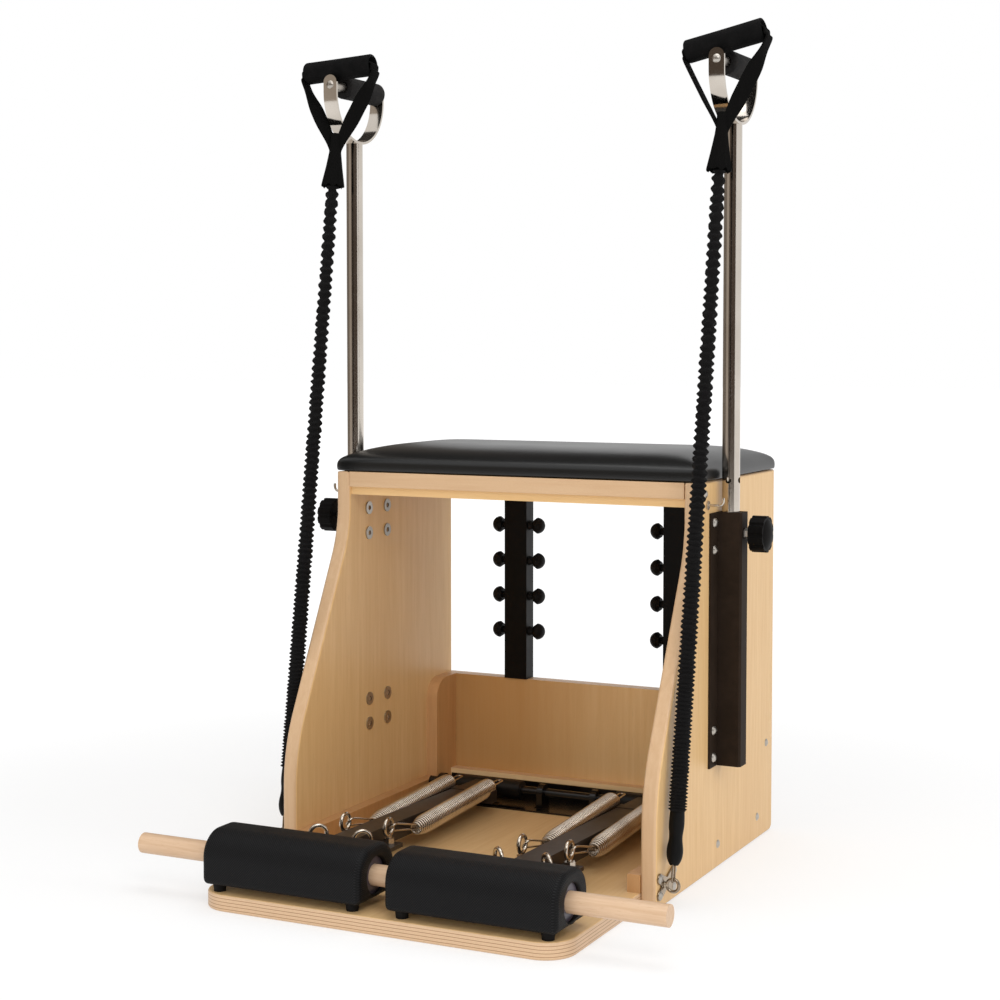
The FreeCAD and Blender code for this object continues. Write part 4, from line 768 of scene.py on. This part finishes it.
def spring_set(side):
    """A pedal's springs, each with a wire hook in its eye bolt and a wire loop at its rear end."""
    sign = SIDES[side]
    middle = middle_half("pedal_pad_" + side)[0].x
    parts = []
    for x in (middle - SPRING_SPREAD, middle + SPRING_SPREAD):
        start = Vector((x, *SPRING_START))
        end = Vector((x, *SPRING_END))
        eye = Vector((x, *SPRING_EYE))
        way = (end - start).normalized()
        wire = coil_points(start, way, (end - start).length, sign)
        parts.append(tube(wire, SPRING_WIRE / 2, COIL_SIDES, way))
        aim = start + way * HOOK_DEPTH
        run = (aim - eye).normalized()
        side_way = Vector((math.cos(HOOK_ROLL), 0, math.sin(HOOK_ROLL)))
        side_way = (side_way - run * side_way.dot(run)).normalized()
        mouth = eye + run * (HOOK_INSIDE + HOOK_WIDE / 2)
        hook = pear_points(mouth, aim, side_way, HOOK_NARROW, HOOK_WIDE)
        parts.append(closed_tube(hook, HOOK_WIRE / 2, HOOK_SIDES))
        tail = end - way * HOOK_DEPTH
        loop = pear_points(tail, tail + way * TAIL_LENGTH, Vector((1, 0, 0)), TAIL_WIDTH, TAIL_WIDTH)
        parts.append(closed_tube(loop, HOOK_WIRE / 2, HOOK_SIDES))
    verts, faces = join_parts(parts)
    springs = make_object("coil_springs_" + side, verts, faces, bright)
    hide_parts("springs_" + side)
    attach(springs, "pedal_" + side)


for side in SIDES:
    spring_set(side)


# Cord anchors

ANCHOR_LOBE = 7.6 * MM
ANCHOR_HUB = 9 * MM
ANCHOR_THICK = 3 * MM
ANCHOR_INSET = 9 * MM
ANCHOR_EDGE = 0.5 * MM
ANCHOR_LEAD = 10 * MM
ANCHOR_POINTS = 120
EYE_PROUD = 15 * MM
EYE_RADIUS = 9 * MM
EYE_WIRE = 2.5 * MM
EYE_POINTS = 40
EYE_SIDES = 14
# Distance from the panel and radius of the eye's stem, in mm
EYE_STEM = ((0.0, 5.0), (3.0, 5.0), (3.6, 4.4), (4.6, 3.6), (5.6, 3.0), (7.0, 2.6))
STEM_SIDES = 24


def lobed_radius(angle, arms, lobe, hub):
    """How far a plate reaches at an angle: rounded arms from its middle to each screw."""
    reach = hub
    for arm, length in arms:
        turn = math.remainder(angle - arm, 2 * math.pi)
        if abs(turn) >= math.pi / 2:
            continue
        across = length * math.sin(turn)
        if lobe * math.cos(turn) >= length * abs(math.sin(turn)):
            reach = max(reach, length * math.cos(turn) + math.sqrt(max(0.0, lobe * lobe - across * across)))
        else:
            reach = max(reach, lobe / abs(math.sin(turn)))
    return reach


def cord_anchor_pair():
    """Lobed plates with an eye each, screwed to the outsides of the panels."""
    middle, half = middle_half("cord_anchors")
    across_y = half.y - ANCHOR_INSET
    across_z = half.z - ANCHOR_INSET
    length = math.hypot(across_y, across_z)
    arms = [(math.atan2(k * across_z, i * across_y), length) for i in (-1, 1) for k in (-1, 1)]
    count = ANCHOR_POINTS
    rings = ((0.0, 0.0), (ANCHOR_THICK - ANCHOR_EDGE, 0.0), (ANCHOR_THICK, ANCHOR_EDGE))
    parts = []
    for side in SIDES:
        sign = SIDES[side]
        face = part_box("side_panel_" + side)[1 if sign > 0 else 0].x
        verts = []
        for out, inset in rings:
            for k in range(count):
                angle = 2 * math.pi * k / count * sign
                reach = lobed_radius(angle, arms, ANCHOR_LOBE - inset, ANCHOR_HUB - inset)
                y = middle.y + reach * math.cos(angle)
                z = middle.z + reach * math.sin(angle)
                verts.append(Vector((face + out * sign, y, z)))
        faces = ring_faces(len(rings), count)
        for ring, flipped in ((0, True), (len(rings) - 1, False)):
            verts.append(Vector((face + rings[ring][0] * sign, middle.y, middle.z)))
            hub = len(verts) - 1
            for k in range(count):
                a = ring * count + k
                c = ring * count + (k + 1) % count
                faces.append((hub, c, a) if flipped else (hub, a, c))
        parts.append((verts, faces))
        eye = Vector((face + EYE_PROUD * sign, middle.y - ANCHOR_LEAD, middle.z))
        loop = circle(eye, Vector((1, 0, 0)), Vector((0, 0, 1)), EYE_RADIUS, EYE_POINTS)
        parts.append(closed_tube(loop, EYE_WIRE, EYE_SIDES))
        stem = [(along * MM, radius * MM) for along, radius in EYE_STEM]
        parts.append(spun(stem, (face, eye.y, eye.z), (sign, 0, 0), STEM_SIDES))
    verts, faces = join_parts(parts)
    plates = make_object("cord_eye_plates", verts, faces, aged, smooth=False)
    for polygon in plates.data.polygons:
        polygon.use_smooth = len(polygon.vertices) == 4
    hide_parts("cord_anchors")
    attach(plates, "chair")


cord_anchor_pair()


# Foam grips

FOAM_RIM = 1 * MM
FOAM_WAIST = 0.2 * MM
FOAM_ROLL_STEPS = 6
FOAM_LENGTHS = 12
FOAM_SIDES = 40
GRIP_ROLL = 4 * MM
GRIP_SINK = 6 * MM


def rolled_sleeve(length, radius, bore, roll, sink):
    """Profile of a foam sleeve with rounded rims: (along, radius) pairs from bore to bore."""
    rim = [(sink, bore), (FOAM_RIM, bore), (0.0, bore + FOAM_RIM), (0.0, radius - roll)]
    for i in range(1, FOAM_ROLL_STEPS + 1):
        a = math.pi / 2 * i / FOAM_ROLL_STEPS
        rim.append((roll * (1 - math.cos(a)), radius - roll + roll * math.sin(a)))
    body = []
    for i in range(1, FOAM_LENGTHS):
        waist = FOAM_WAIST * math.sin(math.pi * i / FOAM_LENGTHS)
        body.append((roll + (length - 2 * roll) * i / FOAM_LENGTHS, radius - waist))
    return rim + body + [(length - along, r) for along, r in reversed(rim)]


def foam_grip(side):
    """The foam sleeve on a post's grip rod."""
    middle, half = middle_half("hand_grip_" + side)
    bore = middle_half("grip_rod_" + side)[1].x + SOFT_GAP
    profile = rolled_sleeve(2 * half.y, half.x, bore, GRIP_ROLL, GRIP_SINK)
    verts, faces = spun(profile, (middle.x, middle.y - half.y, middle.z), (0, 1, 0), FOAM_SIDES)
    grip = make_object("foam_grip_" + side, verts, faces, grip_foam)
    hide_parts("hand_grip_" + side)
    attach(grip, "post_" + side)


for side in SIDES:
    foam_grip(side)


# Cords and hand straps

CORD_ROUTES = {
    "left": ((-0.32458, -0.08610, 0.13699), (-0.32254, -0.01905, 0.59499), (-0.32050, 0.04800, 1.05300)),
    "right": ((0.32589, -0.08610, 0.13699), (0.33020, -0.01905, 0.59499), (0.33450, 0.04800, 1.05300)),
}


def spline_points(route, resolution):
    """Points read from the NURBS spline that the route's points control."""
    curve = bpy.data.curves.new("route", "CURVE")
    curve.dimensions = "3D"
    spline = curve.splines.new("NURBS")
    spline.points.add(len(route) - 1)
    for point, place in zip(spline.points, route):
        point.co = (*place, 1)
    spline.order_u = 3
    spline.use_endpoint_u = True
    spline.resolution_u = resolution
    curve.resolution_u = resolution
    carrier = bpy.data.objects.new("route", curve)
    mesh = bpy.data.meshes.new_from_object(carrier)
    points = [v.co.copy() for v in mesh.vertices]
    bpy.data.objects.remove(carrier)
    bpy.data.curves.remove(curve)
    bpy.data.meshes.remove(mesh)
    return points


CORD_SEEDS = {"left": 11.0, "right": 3.0}
CORD_RESOLUTION = 1024
SLEEVE_SIDES = 26
RIB_FOOT = 4.6 * MM
RIB_HEAD = 14.5 * MM
# Radius at the cord's foot and how much less it is at the head, in mm
CREST = (13.5, 2.9)
VALLEY = (10.6, 4.2)
RUCHE_SPREAD = 1.3
RUCHE_DRIFT = 0.45
RUCHE_SLIP = 0.42
RUCHE_UNEVEN = 0.25
RUCHE_JUMP = 1.7
RUCHE_BEND = 1.15
RUCHE_MOST = 1.1


def cord(side):
    """The gathered sleeve of an elastic cord: uneven ruches, wider and closer towards the foot."""
    points = spline_points(CORD_ROUTES[side], CORD_RESOLUTION)
    way = (points[-1] - points[0]).normalized()
    length = (points[-1] - points[0]).length
    across, other = cross_axes(way)
    seed = CORD_SEEDS[side]
    growth = RIB_HEAD / RIB_FOOT
    verts = []
    uvs = []
    for point in points:
        share = (point - points[0]).length / length
        phase = length / (RIB_HEAD - RIB_FOOT) * math.log(1 + (growth - 1) * share)
        crest = (CREST[0] - CREST[1] * share) * MM
        valley = (VALLEY[0] - VALLEY[1] * share) * MM
        for k in range(SLEEVE_SIDES):
            a = 2 * math.pi * k / SLEEVE_SIDES
            ring = Vector((math.cos(a) * RUCHE_SPREAD + seed, math.sin(a) * RUCHE_SPREAD, 0))
            slip = noise.noise(ring + Vector((0, 0, phase * RUCHE_DRIFT))) * RUCHE_SLIP
            swing = 0.5 - 0.5 * math.cos(2 * math.pi * (phase + slip))
            jump = Vector((5, 0, math.floor(phase + slip) * RUCHE_JUMP))
            uneven = 1 + RUCHE_UNEVEN * noise.noise(ring + jump)
            radius = valley + (crest - valley) * min(RUCHE_MOST, swing ** RUCHE_BEND * uneven)
            verts.append(point + across * (radius * math.cos(a)) + other * (radius * math.sin(a)))
            uvs.append((share * length, k / SLEEVE_SIDES))
    faces = ring_faces(len(points), SLEEVE_SIDES)
    sleeve = make_object("arm_cord_" + side, verts, faces, sleeve_cloth, uvs=uvs)
    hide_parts("cord_sleeve_" + side, "cord_core_" + side)
    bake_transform(sleeve)


BAR_LENGTH = 122 * MM
BAR_WIDTH = 35 * MM
BAR_BORE = 26 * MM
BAR_ROLL = 3 * MM
BAR_SINK = 40 * MM
BAR_SHIFT = 6 * MM
BAR_TILT = {"left": math.radians(3.4), "right": math.radians(12)}
YOKE_LEG = 4 * MM
WEB_WIDTH = 24 * MM
WEB_THICK = 3.2 * MM
WEB_EDGE_STEPS = 8
WEB_STEPS = 10
WEB_OVERHANG = 2.3 * MM
WEB_SLACK = 1 * MM
WEB_INSIDE = (26 * MM, 8 * MM)
WEB_LIFT = 3 * MM
WEB_BEND = 9 * MM
WEB_APART = 4 * MM
FOOT_APART = 2 * MM
FOOT_TUCK = 26 * MM
NECK_RISE = 62 * MM
FACING = Vector((0.44, -0.9, 0.0))
LEG_TURNS = {"left": (0.55, 1.0), "right": (0.0, 1.0)}
TWIST_START = 4 * MM
TWIST_RUN = 45 * MM
GATHER_LEAST = 0.62
GATHER_RUN = 50 * MM


def ribbon(points, flat_ways, gather):
    """Webbing with rounded edges along the points, with the way it faces and its share of width at each."""
    verts = []
    uvs = []
    outline = []
    round_edge = WEB_THICK / 2
    for sign in (-1, 1):
        for i in range(WEB_EDGE_STEPS + 1):
            a = math.pi * i / WEB_EDGE_STEPS - sign * math.pi / 2
            across = sign * (WEB_WIDTH / 2 - round_edge) + round_edge * math.cos(a)
            outline.append((across, round_edge * math.sin(a)))
    run = 0.0
    for i, p in enumerate(points):
        t = heading(points, i)
        n = (flat_ways[i] - t * flat_ways[i].dot(t)).normalized()
        b = t.cross(n)
        if i:
            run += (p - points[i - 1]).length
        for u, v in outline:
            verts.append(p + b * (u * gather[i]) + n * v)
            uvs.append((u, run))
    sides = len(outline)
    return verts, ring_faces(len(points), sides) + end_caps(len(points), sides), uvs


def ease(share):
    """A share held between 0 and 1 and eased at both ends."""
    share = max(0.0, min(1.0, share))
    return share * share * (3 - 2 * share)


def smooth_points(corners):
    """A Catmull-Rom line through the corners."""
    pts = [corners[0] * 2 - corners[1]] + corners + [corners[-1] * 2 - corners[-2]]
    out = []
    for i in range(1, len(pts) - 2):
        a, b, c, d = pts[i - 1:i + 3]
        for k in range(WEB_STEPS):
            t = k / WEB_STEPS
            out.append(0.5 * ((2 * b) + (c - a) * t + (2 * a - 5 * b + 4 * c - d) * t * t
                              + (3 * b - a - 3 * c + d) * t ** 3))
    out.append(pts[-2])
    return out


def bar_place(side):
    """Centre and direction of a strap's bar, which rests on the grip's rod behind the yoke's front leg."""
    rod, rod_half = middle_half("grip_rod_" + side)
    post_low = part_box("post_" + side)[0]
    tilt = BAR_TILT[side]
    lie = Vector((math.cos(tilt), 0, math.sin(tilt)))
    rise = rod_half.z + BAR_WIDTH / 2 + SOFT_GAP
    centre = Vector((rod.x + BAR_SHIFT, post_low.y + YOKE_LEG + BAR_WIDTH / 2 + SOFT_GAP,
                     rod.z + BAR_SHIFT * math.tan(tilt) + rise / math.cos(tilt)))
    return centre, lie


def strap_bar(side, centre, lie):
    """The foam bar of a hand strap."""
    profile = rolled_sleeve(BAR_LENGTH, BAR_WIDTH / 2, BAR_BORE / 2, BAR_ROLL, BAR_SINK)
    verts, faces = spun(profile, centre - lie * (BAR_LENGTH / 2), lie, FOAM_SIDES)
    bar = make_object("strap_handle_" + side, verts, faces, bar_foam)
    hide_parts("strap_bar_" + side)
    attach(bar, "post_" + side)


def strap_web(side, centre, lie, head, way):
    """Both legs of the webbing, from inside the bar down to the neck; some are twisted to face forward."""
    neck = head + way * NECK_RISE
    normal = lie.cross(neck - centre).normalized()
    down = normal.cross(lie).normalized()
    if down.z > 0:
        down = -down
    reach = BAR_LENGTH / 2 + WEB_OVERHANG
    drop = BAR_WIDTH / 2 + WEB_SLACK
    parts = []
    uvs = []
    for end, turn in zip((-1, 1), LEG_TURNS[side]):
        corner = centre + lie * (reach * end)
        below = corner + down * drop
        low = neck + lie * (WEB_APART * end)
        foot = neck - way * FOOT_TUCK + lie * (FOOT_APART * end)
        tips = [centre + lie * ((reach - inside) * end) - down * WEB_LIFT for inside in WEB_INSIDE]
        bend = corner + down * WEB_BEND
        line = smooth_points([*tips, corner, bend, below, below.lerp(low, 0.5), low, foot])
        ways = []
        gather = []
        for i, point in enumerate(line):
            flat = normal.cross(heading(line, i)).normalized()
            if flat.dot(FACING) < 0:
                flat = -flat
            share = ease(((below - point).dot(-down) - TWIST_START) / TWIST_RUN)
            ways.append(flat.lerp(FACING, share * turn))
            near = ease((point - neck).dot(way) / GATHER_RUN)
            gather.append(GATHER_LEAST + (1 - GATHER_LEAST) * near)
        leg_verts, leg_faces, leg_uvs = ribbon(line, ways, gather)
        parts.append((leg_verts, leg_faces))
        uvs += leg_uvs
    verts, faces = join_parts(parts)
    web = make_object("hand_webbing_" + side, verts, faces, strap_cloth, uvs=uvs)
    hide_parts("hand_strap_" + side)
    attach(web, "post_" + side)


# Height above the cord's head, half width and half depth, in mm: down the outside, then up the inside
BELL_STATIONS = ((86, 8.0, 9.4), (74, 8.4, 9.6), (64, 8.8, 9.8), (54, 9.8, 10.4), (42, 11.6, 11.8),
                 (30, 13.4, 13.4), (18, 15.4, 15.2), (8, 17.0, 16.8), (2, 17.8, 17.6), (0, 17.6, 17.4),
                 (3, 15.6, 15.6), (12, 12.4, 12.4), (26, 10.2, 10.2))
BELL_EDGE = (8, 9, 10)
BELL_SEED = 2.0
BELL_SIDES = 48
BELL_GIRTH = 0.1
FLARE_HEIGHT = 70
PLEATS = 9
PLEAT_DEPTH = 0.07
PLEAT_TURN = 0.6
FOLDS = 17
FOLD_DEPTH = 0.03
FRAY = 3.0
FRAY_SPREAD = 3
SCALLOP = 1.4


def strap_bell(side, head, way):
    """The webbing's lower end, pleated and flared over the cord's head, with a frayed edge."""
    seed = BELL_SEED * SIDES[side]
    across, other = cross_axes(way)
    verts = []
    uvs = []
    for index, (along, wide, deep) in enumerate(BELL_STATIONS):
        flare = max(0.0, 1 - along / FLARE_HEIGHT)
        for k in range(BELL_SIDES):
            a = 2 * math.pi * k / BELL_SIDES
            pleat = 1 + PLEAT_DEPTH * flare * math.cos(PLEATS * a + PLEAT_TURN)
            pleat += FOLD_DEPTH * flare * math.cos(FOLDS * a)
            fray = 0.0
            if index in BELL_EDGE:
                tuft = noise.noise(Vector((math.cos(a) * FRAY_SPREAD, math.sin(a) * FRAY_SPREAD, seed)))
                fray = (tuft * FRAY + SCALLOP * math.cos(PLEATS * a)) * MM
            verts.append(head + way * (along * MM + fray) + across * (wide * pleat * MM * math.cos(a))
                         + other * (deep * pleat * MM * math.sin(a)))
            uvs.append((k / BELL_SIDES * BELL_GIRTH, along * MM))
    faces = ring_faces(len(BELL_STATIONS), BELL_SIDES)
    bell = make_object("strap_bell_" + side, verts, faces, strap_cloth, uvs=uvs)
    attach(bell, "post_" + side)


for side in SIDES:
    cord(side)
    route = [Vector(p) for p in CORD_ROUTES[side]]
    cord_way = (route[-1] - route[0]).normalized()
    bar_centre, bar_lie = bar_place(side)
    strap_bar(side, bar_centre, bar_lie)
    strap_web(side, bar_centre, bar_lie, route[-1], cord_way)
    strap_bell(side, route[-1], cord_way)


# Stage, light and camera

FLOOR_REACH = 30
FLOOR_GLOW = 0.5
FLOOR_WHITE = 1.12
FADE_START = 0.7
FADE_END = 2.2
SKY_LIGHT = 0.5
WALL_DISTANCE = 6.0
WALL_HEIGHT = 5.0
WALL_STEPS = 16
ROOF = ((-7, 0.5, 4.6), (7, 0.5, 4.6), (7, 9, 4.6), (-7, 9, 4.6))
CAMERA_PLACE = (1.2886, -2.6299, 0.8040)
CAMERA_TURN = (math.radians(90 - 3.21), 0, math.radians(26.06))
CAMERA_LENS = 69.305
CAMERA_SHIFT = -0.05


def seen_rays(b):
    """One for rays that show the backdrop, and nought for those that only carry its light."""
    rays = b.node("LightPath").outputs
    seen = b.math("MAXIMUM", rays["Is Camera Ray"], rays["Is Glossy Ray"])
    return b.math("MAXIMUM", seen, rays["Is Transmission Ray"])


def show(b, shader):
    """Let a material show another shader than its own."""
    b.tree.links.new(shader.outputs[0], b.tree.nodes["Material Output"].inputs[0])


def floor():
    """A white floor that keeps the shadow and runs out into the white of the backdrop."""
    verts = [(x * FLOOR_REACH, y * FLOOR_REACH, 0) for x, y in ((-1, -1), (1, -1), (1, 1), (-1, 1))]
    b = Builder("pale_floor")
    b.set(Base_Color=(0.92, 0.92, 0.92, 1), Roughness=0.9, Specular_IOR_Level=0.1)
    away = b.node("VectorMath", {0: b.source("Object")}, operation="LENGTH").outputs["Value"]
    limits = {"Value": away, "From Min": FADE_START, "From Max": FADE_END,
              "To Min": FLOOR_GLOW, "To Max": 1.0}
    fade = b.node("MapRange", limits, interpolation_type="SMOOTHSTEP")
    glow = b.node("Emission", {"Color": (1, 1, 1, 1), "Strength": FLOOR_WHITE})
    share = b.math("MULTIPLY", seen_rays(b), fade.outputs[0])
    show(b, b.node("MixShader", {0: share, 1: b.shader.outputs[0], 2: glow.outputs[0]}))
    make_object("floor", verts, [(0, 1, 2, 3)], b.owner, smooth=False)


def sky():
    """An even white surround, at full strength only where it is seen."""
    b = Builder("studio", world=True)
    strength = b.node("MapRange", {"Value": seen_rays(b), "To Min": SKY_LIGHT, "To Max": 1.0})
    b.set(Color=(1, 1, 1, 1), Strength=strength.outputs[0])
    scene.world = b.owner


def curved_wall(first, last):
    """Points and faces of an upright wall round the object, between two bearings from the front."""
    verts = []
    for i in range(WALL_STEPS + 1):
        bearing = math.radians(first + (last - first) * i / WALL_STEPS)
        for z in (0, WALL_HEIGHT):
            verts.append((math.sin(bearing) * WALL_DISTANCE, -math.cos(bearing) * WALL_DISTANCE, z))
    return verts, [(2 * i, 2 * i + 2, 2 * i + 3, 2 * i + 1) for i in range(WALL_STEPS)]


def flag(name, verts, faces, shade):
    """A studio flag that only polished surfaces see."""
    b = Builder(name)
    show(b, b.node("Emission", {"Color": shade, "Strength": 1.0}))
    wall = make_object(name, verts, faces, b.owner, smooth=False)
    for rays in ("camera", "diffuse", "shadow", "transmission"):
        setattr(wall, "visible_" + rays, False)


def lamp(name, place, target, size, power, mirrored):
    """A rectangular lamp aimed at a target, which polished surfaces mirror or not."""
    data = bpy.data.lights.new(name, "AREA")
    data.shape = "RECTANGLE"
    data.size, data.size_y = size
    data.energy = power
    obj = bpy.data.objects.new(name, data)
    obj.visible_glossy = mirrored
    scene.collection.objects.link(obj)
    obj.location = place
    obj.rotation_euler = (Vector(target) - Vector(place)).to_track_quat("-Z", "Y").to_euler()


floor()
sky()
flag("dark_flag", *curved_wall(-24, 62), (84, 74, 66))
flag("pale_flag", *curved_wall(-62, -24), (178, 168, 158))
flag("dusk_flag", *curved_wall(-150, -62), (128, 119, 110))
flag("roof_flag", ROOF, [(0, 1, 2, 3)], (60, 58, 56))
lamp("key", (1.9, -2.6, 2.9), (0, 0, 0.45), (1.8, 1.8), 32, True)
lamp("front", (2.3, -2.8, 0.8), (-0.2, 0.2, 0.35), (1.6, 1.2), 23, False)
lamp("low", (-0.5, -3.5, 0.9), (0, 0.3, 0.2), (1.4, 1.0), 23, False)
lamp("side", (3.3, 0.4, 1.7), (0.3, 0.1, 0.4), (1.6, 1.6), 21, False)
lamp("fill", (-2.8, -2.2, 2.0), (0, 0, 0.5), (2.2, 2.2), 13, False)
lamp("top", (0.2, 0.3, 3.6), (0, 0, 0.4), (2.4, 2.4), 32, True)

camera_data = bpy.data.cameras.new("camera")
camera = bpy.data.objects.new("camera", camera_data)
scene.collection.objects.link(camera)
camera_data.sensor_width = 36
camera_data.lens = CAMERA_LENS
camera_data.shift_y = CAMERA_SHIFT
camera_data.clip_end = 100
camera.location = CAMERA_PLACE
camera.rotation_euler = CAMERA_TURN
scene.camera = camera
scene.view_settings.view_transform = "Standard"
